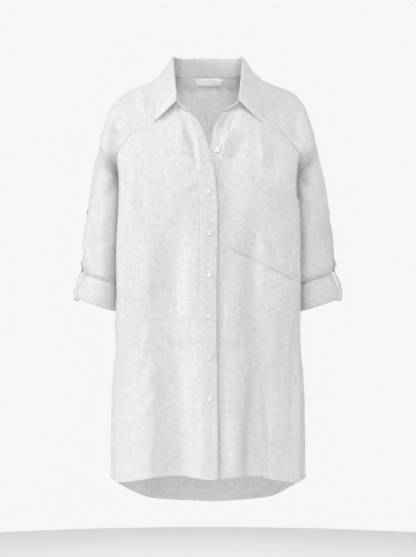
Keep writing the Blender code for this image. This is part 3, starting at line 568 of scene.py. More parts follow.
# Cuffs and straps. The cuff's scale gives millimetres for its places down the sleeve and its heights
CUFF_AROUND = 128
CUFF_STEPS = 4
CUFF_SCALE = np.array((240.0, 1.0))
CUFF_ROUND = 245
CUFF_SHIFT = 900
CUFF_LAYER = 0.5
CUFF_OUTSIDE = (-0.5, 2.2)
CUFF_FACE_HEIGHT = 1
# How much of the sleeve's own relief its cuff carries on, inside and on its face
CUFF_CARRY = 0.25
CUFF_CARRY_OUTSIDE = 0.6
CUFF_CARRY_TO = (2.02, 2.2)
CUFF_ROWS = (2.024, 2.225)
SLEEVE_LAST_V = 1.99
STRAP_ROWS = 76
STRAP_ACROSS = 8
STRAP_TWIST = 4.0
STRAP_CROWN = 0.25
STRAP_SINK = 0.12
STRAP_ROW_AT = 0.72
STRAP_ROW_WIDTH = 0.1
STRAP_CARRY_TO = (1.9, 2.0)
# The strap's rounded end: where it starts and how long it is, in points of its path, and its least width
STRAP_END_FROM = 0.35
STRAP_END_LENGTH = 0.9
STRAP_END_LEAST = 0.06
# The place round the sleeve of the strap's middle, and of the sleeve's button
STRAP_W = 0.5
SLEEVE_BUTTON_W = 0.499
STRAP_FIRST_ROWS = 20
STRAP_BUTTON_OUT = 3.0
STRAP_BUTTON_OFF = 0.3
STRAP_EDGE = 2.2

# Buttons: radius and height of the side's rings, shares of the radius for the face's, and the holes
BUTTON_TURNS = 40
BUTTON_SIDE = ((0.86, 0.0), (0.95, 0.25), (1.0, 0.75), (1.0, 1.5))
BUTTON_RINGS = (0.06, 0.12, 0.18, 0.24, 0.3, 0.36, 0.42, 0.5, 0.58, 0.64, 0.7, 0.76, 0.84, 0.91, 0.96, 0.99)
BUTTON_RIM = 0.15
BUTTON_EDGE = 1.1
RIM_AT = 0.86
RIM_WIDTH = 0.1
DISH_EDGE = (0.5, 0.82)
EDGE_FROM = 0.9
BUTTON_OFF = 0.35
HOLE_AT = 1.35
HOLE_RADIUS = 0.62
HOLE_DEPTH = 1.5
HOLE_FLOOR = 1.2
HOLE_SLOPE = (0.55, 1.15)
THREAD_APART = 0.18
THREAD_OFF = 0.12
THREAD_REACH = 2.4
THREAD_SIZE = (0.42, 0.3)
STITCH_OFF = 0.05

# Label
LABEL_COLUMNS, LABEL_ROWS = 49, 15
LABEL_END_SOFT = (0, 6)
LABEL_TOP_SOFT = (-1, 4)
LABEL_FOLD_AT = (3.2, 3.8)
LABEL_CLOTH = 0.65
LABEL_PUFF = 0.7
LABEL_FOLD = 0.35
LABEL_STITCH_AT = 2.2
LABEL_PITCH = 2.6


def spline(at, knots, values):
    """A natural cubic through the knots, read at any number of places, straight beyond the ends."""
    knots, values = np.asarray(knots, float), np.asarray(values, float)
    if knots[0] > knots[-1]:
        knots, values = knots[::-1], values[::-1]
    step = np.diff(knots)
    slope = np.diff(values) / step
    count = len(knots)
    system = np.eye(count)
    right = np.zeros(count)
    for i in range(1, count - 1):
        system[i, i - 1 : i + 2] = step[i - 1], 2 * (step[i - 1] + step[i]), step[i]
        right[i] = 6 * (slope[i] - slope[i - 1])
    bend = np.linalg.solve(system, right)
    at = np.clip(np.asarray(at, float), knots[0], knots[-1])
    i = np.clip(np.searchsorted(knots, at) - 1, 0, count - 2)
    a, b = knots[i + 1] - at, at - knots[i]
    curved = (bend[i] * a**3 + bend[i + 1] * b**3) / (6 * step[i])
    low = (values[i] / step[i] - bend[i] * step[i] / 6) * a
    high = (values[i + 1] / step[i] - bend[i + 1] * step[i] / 6) * b
    return curved + low + high


def column(table, name, at):
    """One named column of a table, read between its rows. The first column is where it is read."""
    return spline(at, next(iter(table.values())), table[name])


def smooth_step(low, high, value):
    share = np.clip((value - low) / (high - low), 0, 1)
    return share * share * (3 - 2 * share)


def hump(distance, width):
    """1 at no distance, falling softly to nothing on both sides."""
    return np.exp(-((distance / width) ** 2))


def run_of(points):
    """Distances along a line of points from its first."""
    return np.concatenate([[0], np.linalg.norm(np.diff(points, axis=0), axis=1).cumsum()])


def read_line(at, run, values):
    """The values of a line's points, read at a distance along it."""
    return np.array([np.interp(at, run, values[:, k]) for k in range(values.shape[1])])


def half_section(t, z):
    """A point of the half section at height z: t is 0 at the centre front and 1 at the centre back."""
    turn = np.pi * t
    sine, cosine = np.sin(turn), np.cos(turn)
    round_x = np.sign(sine) * np.abs(sine) ** ROUND_POWER
    round_y = -np.sign(cosine) * np.abs(cosine) ** ROUND_POWER
    arm_x = np.sign(t) * spline(np.abs(t), ARM_SECTION["t"], ARM_SECTION["x"])
    arm_y = spline(np.abs(t), ARM_SECTION["t"], ARM_SECTION["y"])
    share = np.clip(column(BODY_LEVELS, "beside_arm", z), 0, 1)
    x = round_x + share * (arm_x - round_x)
    y = round_y + share * (arm_y - round_y)
    depth = np.where(y < 0, column(BODY_LEVELS, "front", z), column(BODY_LEVELS, "back", z))
    return x * column(BODY_LEVELS, "half_width", z), y * depth


def fold_height(t, z, side):
    """How far the large folds stand out of the plain section."""
    total = np.zeros(np.broadcast(t, z).shape)
    for values in FOLDS:
        fold = dict(zip(FOLD_COLUMNS, values))
        if fold["side"] != side:
            continue
        grown = smooth_step(-fold["head_z"], -fold["full_z"], -z)
        place = fold["head_t"] + (fold["foot_t"] - fold["head_t"]) * grown
        total = total + fold["height"] * grown * hump(t - place, fold["width"])
    return total * smooth_step(*FOLD_FREE_T, t)


def body(t, z, side, out=0.0):
    """Points on the body's outer face, moved out by out, in the half's own coordinates."""
    t, z = np.broadcast_arrays(np.asarray(t, float), np.asarray(z, float))
    x0, y0 = half_section(t - SMALL_STEP, z)
    x1, y1 = half_section(t + SMALL_STEP, z)
    along = np.hypot(x1 - x0, y1 - y0)
    normal_x, normal_y = (y1 - y0) / along, -(x1 - x0) / along
    x, y = half_section(t, z)
    lift = out + fold_height(t, z, side)
    return np.stack([x + lift * normal_x, y + lift * normal_y, z], -1)


def t_at_x(x, z):
    """Where round the section the front is x from the centre line."""
    places = np.linspace(-0.14, 0.28, 85)
    x, z = np.broadcast_arrays(np.asarray(x, float), np.asarray(z, float))
    lines = half_section(places[None, :], z.reshape(-1, 1))[0]
    return np.array([np.interp(a, line, places) for a, line in zip(x.flat, lines)]).reshape(x.shape)


def front_edge_x(z, side):
    return column(RIGHT_EDGE if side < 0 else LEFT_EDGE, "x", z)


def front_point(across, v, side, out=0.0):
    """The front at across, 0 on the free edge and 1 on the seam, and v, 0 at the neckline, 1 at the
    underarm and 2 at the hem."""
    across, v = np.asarray(across, float), np.asarray(v, float)
    cap = np.clip(v, 0, 1)
    tail = np.clip(v - 1, 0, 1)
    edge_z = FRONT_NECK_Z + (UNDERARM_Z - FRONT_NECK_Z) * cap
    seam_z = FRONT_SEAM_TOP_Z + (UNDERARM_Z - FRONT_SEAM_TOP_Z) * cap
    z = edge_z + (seam_z - edge_z) * across**1.3
    seam_t = np.where(v >= 1, 0.5, column(FRONT_SEAM, "t", seam_z))
    low_z = edge_z + (column(HEM, "z", 0.05) - UNDERARM_Z) * tail
    edge_t = t_at_x(front_edge_x(low_z, side), low_z)
    t = edge_t + (seam_t - edge_t) * across
    z = z + (column(HEM, "z", np.abs(t)) - UNDERARM_Z) * tail
    if side > 0:
        x = half_section(t, z)[0]
        out = out - UNDERLAP * (1 - smooth_step(UNDERLAP_FULL_X, UNDERLAP_END_X, x))
    return body(t, z, side, out)


def back_point(across, v, side, out=0.0):
    """The back at across, 0 on the centre back and 1 on the seam, and v as on the front."""
    across, v = np.asarray(across, float), np.asarray(v, float)
    cap = np.clip(v, 0, 1)
    tail = np.clip(v - 1, 0, 1)
    middle_z = BACK_NECK_Z + (UNDERARM_Z - BACK_NECK_Z) * cap
    seam_z = BACK_SEAM_TOP_Z + (UNDERARM_Z - BACK_SEAM_TOP_Z) * cap
    z = middle_z + (seam_z - middle_z) * across**2
    seam_t = np.where(v >= 1, 0.5, column(BACK_SEAM, "t", seam_z))
    t = 1 + (seam_t - 1) * across
    z = z + (column(HEM, "z", t) - UNDERARM_Z) * tail
    return body(t, z, side, out)


def bezier(p0, p1, p2, p3, share):
    share = share[..., None]
    rest = 1 - share
    return rest**3 * p0 + 3 * rest**2 * share * p1 + 3 * rest * share**2 * p2 + share**3 * p3


def stacked(table, prefix, at):
    return np.stack([column(table, prefix + axis, at) for axis in "xyz"], -1)


def sleeve_point(w, v, side):
    """The sleeve at w, 0 on the front seam, 0.5 on the crest and 1 on the back seam, and v, 0 at
    the neckline, 1 at the underarm, and more down the arm. Each half row is one cubic."""
    w, v = np.asarray(w, float), np.asarray(v, float)
    cap, tube = np.clip(v, 0, 1), np.clip(v, 1, None)
    on_cap = (v < 1)[..., None]
    front = front_point(1.0, cap, side)
    back = back_point(1.0, cap, side)
    inner = stacked(TUBE, "inner_", tube)
    crest = np.where(on_cap, stacked(CAP, "crest_", cap), stacked(TUBE, "outer_", tube))
    forward = np.array([0.0, -1.0, 0.0])
    outward = np.array([1.0, 0.0, 0.0])
    round_pull = (4 / 3 * column(TUBE, "depth", tube))[..., None] * forward
    front_round = round_pull + column(TUBE, "front_lean", tube)[..., None] * outward
    back_round = -round_pull + column(TUBE, "back_lean", tube)[..., None] * outward
    crest_pull = np.where(on_cap, column(CAP, "crest_pull", cap)[..., None] * forward, round_pull)
    front_pull = np.where(on_cap, stacked(CAP, "front_pull_", cap), front_round)
    back_pull = np.where(on_cap, stacked(CAP, "back_pull_", cap), back_round)
    front_start = np.where(on_cap, front, inner)
    back_start = np.where(on_cap, back, inner)
    front_half = bezier(front_start, front_start + front_pull, crest + crest_pull, crest, 2 * w)
    back_half = bezier(back_start, back_start + back_pull, crest - crest_pull, crest, 2 - 2 * w)
    return np.where((w <= 0.5)[..., None], front_half, back_half)


def yoke_point(q, v, side):
    """The upper body as one surface: q is 0 on the front edge and 1 on the centre back, with the
    seams at a third and two thirds."""
    q, v = np.broadcast_arrays(np.asarray(q, float), np.asarray(v, float))
    front = front_point(np.clip(3 * q, 0, 1), v, side)
    sleeve = sleeve_point(np.clip(3 * q - 1, 0, 1), v, side)
    back = back_point(np.clip(3 - 3 * q, 0, 1), v, side)
    on_front, on_sleeve = (q <= 1 / 3)[..., None], (q <= 2 / 3)[..., None]
    return np.where(on_front, front, np.where(on_sleeve, sleeve, back))


def raised(surface, a, b, side, height):
    """Points of a surface moved along its own outward normal."""
    a, b, height = np.broadcast_arrays(np.asarray(a, float), np.asarray(b, float), np.asarray(height, float))
    step = np.where(a > 0.5, -SMALL_STEP, SMALL_STEP)
    along_a = (surface(a + step, b, side) - surface(a, b, side)) / step[..., None]
    along_b = surface(a, b + SMALL_STEP, side) - surface(a, b - SMALL_STEP, side)
    normal = np.cross(along_a, along_b)
    normal = normal / np.linalg.norm(normal, axis=-1)[..., None]
    return surface(a, b, side) - normal * height[..., None]


def to_world(points, side):
    return points * np.array([side, 1, 1])


def unit(vectors):
    return vectors / np.linalg.norm(vectors, axis=-1)[..., None]


def layout(shape, closed_from=None):
    """Numbers a grid's points row by row, and its faces. Rows from closed_from on join end to end."""
    rows, columns = shape
    index = np.zeros(shape, int)
    count = 0
    for i in range(rows):
        for j in range(columns):
            if closed_from is not None and i >= closed_from and j == columns - 1:
                index[i, j] = index[i, 0]
                continue
            index[i, j] = count
            count += 1
    corners = index[:-1, :-1], index[:-1, 1:], index[1:, 1:], index[1:, :-1]
    return index, np.stack(corners, -1).reshape(-1, 4), count


def listed(grid, index, count):
    points = np.zeros((count, 3))
    points[index[:, ::-1]] = grid[:, ::-1]
    return points


def grid_normals(grid, closed_from=None, flip=False):
    index, faces, count = layout(grid.shape[:2], closed_from)
    points = listed(grid, index, count)
    corners = points[faces]
    across = np.cross(corners[:, 2] - corners[:, 0], corners[:, 3] - corners[:, 1])
    total = np.zeros((count, 3))
    for k in range(4):
        np.add.at(total, faces[:, k], across)
    return unit(total)[index] * (-1 if flip else 1)


def inset(grid, left=0.0, right=0.0, top=0.0, bottom=0.0):
    """Draws the grid's edges in along the surface, to leave the seam gaps."""
    grid = grid.copy()
    for amount, edge, inner in (
        (left, (slice(None), 0), (slice(None), 1)),
        (right, (slice(None), -1), (slice(None), -2)),
        (top, (0, slice(None)), (1, slice(None))),
        (bottom, (-1, slice(None)), (-2, slice(None))),
    ):
        if amount:
            grid[edge] += amount * unit(grid[inner] - grid[edge])
    return grid


def side_name(base, side):
    return base + ("_right" if side < 0 else "_left")


def neck_places(u, side):
    """The yoke's q at shares u of the neckline's length."""
    fine = np.linspace(0, 1, 401)
    line = yoke_point(fine, 0.0, side)
    length = run_of(line)
    return np.interp(np.asarray(u) * length[-1], length, fine)


def collar_frame(u, side):
    """The neckline, the fold, the way up the stand and the way out of it, at shares u."""
    base = yoke_point(neck_places(u, side), 0.0, side)
    after = yoke_point(neck_places(np.clip(u + SMALL_SHARE, 0, 1), side), 0.0, side)
    before = yoke_point(neck_places(np.clip(u - SMALL_SHARE, 0, 1), side), 0.0, side)
    s = np.clip((u - FALL_START) / (1 - FALL_START), 0, 1)
    start = yoke_point(neck_places(np.maximum(u, FALL_START), side), 0.0, side)
    fold = stacked(COLLAR_FOLD, "", s)
    up = unit(fold - start)
    out = unit(np.cross(after - before, up))
    return base, start, fold, up, out, s


def t_at_arc(length, z):
    """Where round the section the front is length from the centre line, along the cloth."""
    places = np.linspace(0, 0.7, 141)
    length, z = np.broadcast_arrays(np.asarray(length, float), np.asarray(z, float))
    x, y = half_section(places[None, :], z.reshape(-1, 1))
    run = np.hypot(np.diff(x, axis=1), np.diff(y, axis=1)).cumsum(axis=1)
    found = [np.interp(a, line, places[1:]) for a, line in zip(length.flat, run)]
    return np.array(found).reshape(length.shape)


def frame_at(surface, a, b, side, height):
    """A point over a surface, and the surface's outward normal there."""
    low, high = (raised(surface, a, b, side, h) for h in (0.0, 1.0))
    return low + (high - low) * height, high - low


def noise(a, b, seed):
    """Smooth noise from -1 to 1 on a seeded lattice, one step of it to a unit of a and b."""
    lattice = np.random.default_rng(seed).uniform(-1, 1, (LATTICE, LATTICE))
    a, b = np.broadcast_arrays(np.asarray(a, float), np.asarray(b, float))
    i, j = np.floor(a).astype(int), np.floor(b).astype(int)
    fa, fb = a - i, b - j
    fa, fb = fa**3 * (fa * (6 * fa - 15) + 10), fb**3 * (fb * (6 * fb - 15) + 10)
    corners = [[lattice[(i + k) % LATTICE, (j + m) % LATTICE] for k in (0, 1)] for m in (0, 1)]
    near, far = (low * (1 - fa) + high * fa for low, high in corners)
    return near * (1 - fb) + far * fb


def uneven(name, a, b, shift=0):
    """A noise of the table of them, read at two places. shift moves its seed."""
    height, pitch_a, pitch_b, seed = NOISES[name]
    return height * noise(a / pitch_a, b / pitch_b, seed + shift)


def span(name, value):
    """1 inside one of the named stretches, 0 outside it, and soft at both ends."""
    rise, full, leave, end = SPANS[name]
    return smooth_step(rise, full, value) * (1 - smooth_step(leave, end, value))


def crumple(a, b, seed):
    """Linen's small uneven creasing: soft hollows, ridges between them, and finer ridges on those."""
    a, b = a + uneven("wander_a", a, b, seed), b + uneven("wander_b", a, b, seed)
    ridge = RIDGE_TOP - 2 * np.abs(uneven("ridge", a, b, seed))
    slant = RIDGE_TOP - 2 * np.abs(uneven("slant", a + RIDGE_SLANT * b, b - RIDGE_SLANT * a, seed))
    fine = RIDGE_TOP - 2 * np.abs(uneven("fine", a, b, seed))
    patch = 0.55 + uneven("patch", a, b, seed)
    rough = CRUMPLE_RIDGE * (ridge + slant) + CRUMPLE_FINE * fine
    return CRUMPLE_SOFT * uneven("soft", a, b, seed) + patch * rough


def crease_height(table, x, z):
    """The height that a table's creases give at the places x, z."""
    x, z = x + uneven("crease_x", x, z), z + uneven("crease_z", x, z)
    total = np.zeros(x.shape)
    for values in table:
        crease = dict(zip(CREASE_COLUMNS, values))
        run_x, run_z = crease["x1"] - crease["x0"], crease["z1"] - crease["z0"]
        length = math.hypot(run_x, run_z)
        along = ((x - crease["x0"]) * run_x + (z - crease["z0"]) * run_z) / length**2
        off = ((z - crease["z0"]) * run_x - (x - crease["x0"]) * run_z) / length
        share = np.clip(along, 0, 1)
        off = off - crease["bow"] * 4 * share * (1 - share)
        width = crease["width"] * np.where(off > 0, crease["lean"], 1) * (0.75 + 0.4 * share)
        rise = smooth_step(0, crease["peak"], along) * (1 - smooth_step(crease["peak"], 1, along))
        total += crease["height"] * rise * hump(off, width)
    return CREASE_STRENGTH * total


def seam_relief(distance, down, seed):
    """The doubled cloth, the dip, the sunk stitches and the small puckers beside a seam."""
    layer = SEAM_LAYER * (1 - smooth_step(SEAM_STITCH_AT + 0.8, SEAM_STITCH_AT + 2.4, distance))
    dip = SEAM_DIP * hump(distance, SEAM_DIP_WIDTH)
    sink = STITCH_SINK * hump(distance - SEAM_STITCH_AT, GROOVE)
    pull = uneven("seam_pull", down, distance, seed)
    return layer - dip - sink + pull * hump(distance, PUCKER_REACH)


def hem_relief(distance, along, width, seed):
    """The turned hem, its sunk stitches, and the short slanting puckers that it pulls up."""
    layer = HEM_LAYER * (1 - smooth_step(width, width + HEM_STITCH_IN, distance))
    sink = HEM_SINK * hump(distance - width + HEM_STITCH_IN, HEM_GROOVE)
    pull = uneven("hem_pull", along + 0.7 * distance, distance, seed)
    return layer - sink + pull * hump(distance, HEM_REACH)


def hem_wall(distance, width):
    """The wall of a body panel, thicker in its turned hem."""
    return CLOTH_WALL + HEM_WALL * (1 - smooth_step(width, width + HEM_STITCH_IN, distance))


def body_rows():
    """The rows of a body panel: even on the cap and the tail, with the hem's own steps at the foot."""
    cap = np.linspace(0, 1, CAP_ROWS + 1)
    foot = 1 - np.array(HEM_STEPS)[::-1] / (UNDERARM_Z - HEM["z"][0])
    even = np.linspace(0, foot[0], TAIL_ROWS + 1)[1:-1]
    return np.concatenate([cap, 1 + even, 1 + foot])


def sleeve_rows():
    cap = np.linspace(0, 1, CAP_ROWS + 1)
    return np.concatenate([cap, np.linspace(1, SLEEVE_END_V, TUBE_ROWS + 1)[1:]])


def arcs(grid, axis):
    """Distances along the grid's lines from their first point."""
    step = np.linalg.norm(np.diff(grid, axis=axis), axis=-1)
    first = np.zeros_like(np.take(step, [0], axis=axis))
    return np.concatenate([first, step.cumsum(axis=axis)], axis)


def spread(surface, rows, side, starts, middle, ends):
    """Where a surface's columns are on each row: at set distances from both edges, even between."""
    fine = np.linspace(0, 1, SPREAD_FINE)
    length = arcs(surface(fine[None, :], rows[:, None], side), 1)
    first = np.array(starts)[None, :] + 0 * length[:, :1]
    last = length[:, -1:] - np.array(ends)[None, ::-1]
    share = np.linspace(0, 1, middle + 2)[1:-1]
    between = first[:, -1:] + (last[:, :1] - first[:, -1:]) * share
    target = np.concatenate([first, between, last], 1)
    return np.array([np.interp(t, row, fine) for t, row in zip(target, length)])


def add_seam(relief, grid, seam, distance, seeds, side):
    """The relief with a seam's added. The seam has one seed on the cap and another below it."""
    for rows, seed in zip((slice(0, CAP_ROWS), slice(CAP_ROWS, None)), seeds):
        own = seed + (LEFT_SEED if side > 0 else 0)
        relief[rows] = relief[rows] + seam_relief(distance[rows], grid[rows, seam, 2][:, None], own)
    return relief


def calmed(relief, from_neck, *from_seams):
    """The relief, dying out at the neck seam and at the seams at the panel's sides."""
    for distance in from_seams:
        relief = relief * (1 - hump(distance, SEAM_CALM))
    return relief * (1 - hump(from_neck + 3, NECK_CALM))


def front_relief_at(x, z, calm):
    """The fronts' creases and crumpling, the same for both where they overlap."""
    return crease_height(FRONT_CREASES, x, z) + calm * crumple(x + CLOTH_SHIFT, z, CLOTH_SEED)


def front_panel(side):
    rows = body_rows()
    across = spread(front_point, rows, side, BAND_STEPS + BESIDE_BAND_STEPS, FRONT_MIDDLE, SEAM_STEPS)
    grid = front_point(across, rows[:, None], side)
    from_edge, from_neck = arcs(grid, 1), arcs(grid, 0)
    from_seam = from_edge[:, -1:] - from_edge
    from_hem = from_neck[-1:] - from_neck
    along = from_edge + grid[:, :1, 0]
    off_band = smooth_step(BAND_WIDTH, BAND_WIDTH + BAND_CALM, from_edge)
    calm = CRUMPLE_EDGE_SHARE + (1 - CRUMPLE_EDGE_SHARE) * off_band
    relief = calmed(front_relief_at(side * along, grid[..., 2], calm), from_neck, from_seam)
    relief = add_seam(relief, grid, -1, from_seam, (FRONT_RAGLAN_SEED, SIDE_SEAM_SEED), side)
    relief = relief + hem_relief(from_hem, side * along, FRONT_HEM, FRONT_HEM_SEED)
    relief = relief - BESIDE_BAND_DIP * hump(from_edge - BAND_WIDTH - BESIDE_BAND_AT, BESIDE_BAND_WIDTH)
    below = smooth_step(*FREE_EDGE_FROM, -grid[..., 2])
    if side < 0:
        relief = relief + FREE_EDGE_LIFT * below * (1 - smooth_step(0, FREE_EDGE_REACH, from_edge))
    else:
        off = grid[..., 0] + front_edge_x(grid[..., 2], -1) - FREE_EDGE_SHADE_AT
        relief = relief - FREE_EDGE_SHADE * below * hump(off, FREE_EDGE_SHADE_WIDTH)
    cloth = np.stack([along, from_neck], -1)
    return {"grid": grid, "relief": relief, "wall": hem_wall(from_hem, FRONT_HEM), "cloth": cloth}


def across_back(side, rows):
    """One half of the back, from its seam to the centre back."""
    share = spread(lambda a, v, s: back_point(1 - a, v, s), rows, side, SEAM_STEPS, BACK_MIDDLE, (0,))
    return to_world(back_point(1 - share, rows[:, None], side), side)


def joined(right, left):
    """One grid from the right half and the left half, which meet at the centre back."""
    middle = (right[:, -1:] + left[:, -1:]) / 2
    return np.concatenate([right[:, :-1], middle, left[:, -2::-1]], 1)


def back_panel():
    rows = body_rows()
    right, left = (across_back(side, rows) for side in SIDES)
    grid = joined(right, left)
    centre = right.shape[1] - 1
    from_right, from_neck = arcs(grid, 1), arcs(grid, 0)
    from_left = from_right[:, -1:] - from_right
    along = from_right - from_right[:, centre : centre + 1]
    from_hem = from_neck[-1:] - from_neck
    relief = crease_height(BACK_CREASES, along, grid[..., 2])
    relief = relief + crumple(along + CLOTH_SHIFT, grid[..., 2], BACK_SEED)
    relief = calmed(relief, from_neck, from_right, from_left)
    for side, seam, distance in ((-1, 0, from_right), (1, -1, from_left)):
        relief = add_seam(relief, grid, seam, distance, (BACK_RAGLAN_SEED, SIDE_SEAM_SEED), side)
    relief = relief + hem_relief(from_hem, along, BACK_HEM, BACK_HEM_SEED)
    cloth = np.stack([along, from_neck], -1)
    return {"grid": grid, "relief": relief, "wall": hem_wall(from_hem, BACK_HEM), "cloth": cloth}


def sleeve_panel(side):
    rows = sleeve_rows()
    down = rows[:, None]
    around = spread(sleeve_point, rows, side, SEAM_STEPS, SLEEVE_MIDDLE, SEAM_STEPS)
    grid = sleeve_point(around, down, side)
    grid[..., 1] -= INNER_FULLNESS * span("inner", down) * hump(around - INNER_AT, INNER_WIDTH)
    from_front, from_neck = arcs(grid, 1), arcs(grid, 0)
    from_back = from_front[:, -1:] - from_front
    x, y, z = np.moveaxis(grid, -1, 0)
    relief = crumple(from_front + 200 * side, from_neck, SLEEVE_SEED + side)
    on_back = smooth_step(*SLEEVE_TURN, around)
    share = {"front": 1 - on_back, "back": on_back, "outer": span("outer", around)}
    for place, part in share.items():
        table = [row[2:] for row in SLEEVE_CREASES if row[:2] == (side, place)]
        relief = relief + SLEEVE_STRENGTH * part * crease_height(table, y if place == "outer" else x, z)
    relief = calmed(relief, from_neck, from_front, from_back)
    for seam, distance, seed in ((0, from_front, FRONT_RAGLAN_SEED), (-1, from_back, BACK_RAGLAN_SEED)):
        relief = add_seam(relief, grid, seam, distance, (seed, UNDERARM_SEED), side)
    relief = relief * (1 - 0.85 * smooth_step(*UNDER_CUFF, down))
    relief = relief + CUFF_SWELL * span("swell", down) - CUFF_TUCK * span("tuck", down)
    panel = {"grid": grid, "relief": relief, "wall": np.full(relief.shape, CLOTH_WALL)}
    return panel | {"cloth": np.stack([from_front, from_neck], -1), "around": around, "rows": rows}


def share_seam_normals(back, fronts, sleeves):
    """Gives the panels' grids their normals, the same for both sides of each seam."""
    back["normals"] = grid_normals(back["grid"])
    cap, tail = slice(0, CAP_ROWS), slice(CAP_ROWS, None)
    for side in SIDES:
        front, sleeve = fronts[side], sleeves[side]
        front["normals"] = grid_normals(front["grid"], flip=True)
        sleeve["normals"] = grid_normals(sleeve["grid"], CAP_ROWS, flip=True)
        seam = -1 if side > 0 else 0
        own_back = to_world(back["normals"][:, seam], side)
        shared = unit(front["normals"][cap, -1] + sleeve["normals"][cap, 0])
        front["normals"][cap, -1] = sleeve["normals"][cap, 0] = shared
        own_back[cap] = sleeve["normals"][cap, -1] = unit(own_back[cap] + sleeve["normals"][cap, -1])
        own_back[tail] = front["normals"][tail, -1] = unit(own_back[tail] + front["normals"][tail, -1])
        back["normals"][:, seam] = to_world(own_back, side)


def finish_piece(made, node=None):
    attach(made, "root")
    if node:
        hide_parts(node)
    return made


def add_mesh(name, points, faces, finish, side=1, cloth=None):
    """A mesh from millimetres in the half's own coordinates. cloth is each point's place along and
    down the cloth, which the weave follows."""
    mesh = bpy.data.meshes.new(name)
    mesh.from_pydata((to_world(points, side) * MM).tolist(), [], [face[::side] for face in faces])
    mesh.materials.append(finish)
    mesh.shade_smooth()
    mesh.set_sharp_from_angle(angle=SHARP_ANGLE)
    if cloth is not None:
        flat = np.zeros((len(points), 3))
        flat[:, :2] = cloth * MM
        layer = mesh.attributes.new("cloth", "FLOAT_VECTOR", "POINT")
        layer.data.foreach_set("vector", flat.ravel())
    made = bpy.data.objects.new(name, mesh)
    bpy.context.collection.objects.link(made)
    return made


def add_sheet(
    name, node, outer, inner, finish, side=1, cloth=None, closed_from=None, flip=False, slot="linen"
):
    """The wall between two grids, as a piece that replaces a node."""
    index, faces, count = layout(outer.shape[:2], closed_from)
    if flip:
        faces = faces[:, ::-1]
    start, end = faces.ravel(), np.roll(faces, -1, 1).ravel()
    rim = ~np.isin(start * count + end, end * count + start)
    sides = np.stack([end[rim], start[rim], start[rim] + count, end[rim] + count], -1)
    points = np.concatenate([listed(outer, index, count), listed(inner, index, count)])
    all_faces = np.concatenate([faces, faces[:, ::-1] + count, sides]).tolist()
    if cloth is None:
        cloth = np.stack([arcs(outer, 1), arcs(outer, 0)], -1)
    laid = np.zeros((count, 2))
    laid[index[:, ::-1]] = cloth[:, ::-1]
    made = add_mesh(name, points, all_faces, finish, side, np.concatenate([laid, laid]))
    return finish_piece(made, node)


def add_panel(name, panel, finish, side=1, closed_from=None, flip=False, **gaps):
    grid = inset(panel["grid"], **gaps)
    outer = grid + panel["normals"] * panel["relief"][..., None]
    inner = outer - panel["normals"] * panel["wall"][..., None]
    made = add_sheet(name + "_cloth", name, outer, inner, finish, side, panel["cloth"], closed_from, flip)
    panel.update(outer=outer, inner=inner, object=made)


def line_at(piece, edge, distance):
    """The line on a piece's face at a distance from one of its edges, and the normals along it."""
    grid, normals = piece["outer"], piece["normals"]
    if edge in ("top", "bottom"):
        grid, normals = np.swapaxes(grid, 0, 1), np.swapaxes(normals, 0, 1)
    if edge in ("right", "bottom"):
        grid, normals = grid[:, ::-1], normals[:, ::-1]
    both = np.concatenate([grid, normals], -1)
    found = np.array([read_line(distance, run, row) for run, row in zip(arcs(grid, 1), both)])
    return found[:, :3], unit(found[:, 3:])


class Stitches:
    """Gathers stitches, each a small raised lozenge, to make one mesh of them."""

    faces = ((0, 2, 4), (2, 1, 4), (1, 3, 4), (3, 0, 4), (2, 0, 5), (1, 2, 5), (3, 1, 5), (0, 3, 5))

    def __init__(self):
        self.points = []

    def add(self, centre, along, normal, length=STITCH_LENGTH, width=STITCH_WIDTH, rise=STITCH_RISE):
        ways = along * length / 2, np.cross(normal, along) * width / 2, normal * rise
        for way, first in zip(ways, (-1, 1, 1)):
            self.points += [centre + first * way, centre - first * way]

    def row(self, line, side=1, pitch=STITCH_PITCH, closed=False):
        """A row of stitches along a line."""
        points, normals = (to_world(values, side) for values in line)
        if closed:
            points, normals = (np.concatenate([values, values[:1]]) for values in (points, normals))
        run = run_of(points)
        for at in np.arange(pitch / 2, run[-1] - pitch / 4, pitch):
            start, end = (read_line(at + step, run, points) for step in (-1, 1))
            normal = unit(read_line(at, run, normals))
            along = unit(end - start)
            normal = unit(normal - along * (normal @ along))
            self.add((start + end) / 2 + normal * STITCH_OFF, along, normal)

    def make(self, name, finish, slot="linen"):
        points = np.array(self.points)
        numbers = 6 * np.arange(len(points) // 6)[:, None, None]
        faces = (np.array(self.faces)[None] + numbers).reshape(-1, 3).tolist()
        finish_piece(add_mesh(name, points, faces, finish, 1, points[:, [0, 2]]))


def stitch_rows(name, finish, rows):
    """One mesh of several rows of stitches, each a line, its side and whether it closes."""
    stitches = Stitches()
    for line, side, closed in rows:
        stitches.row(line, side, closed=closed)
    stitches.make(name, finish)


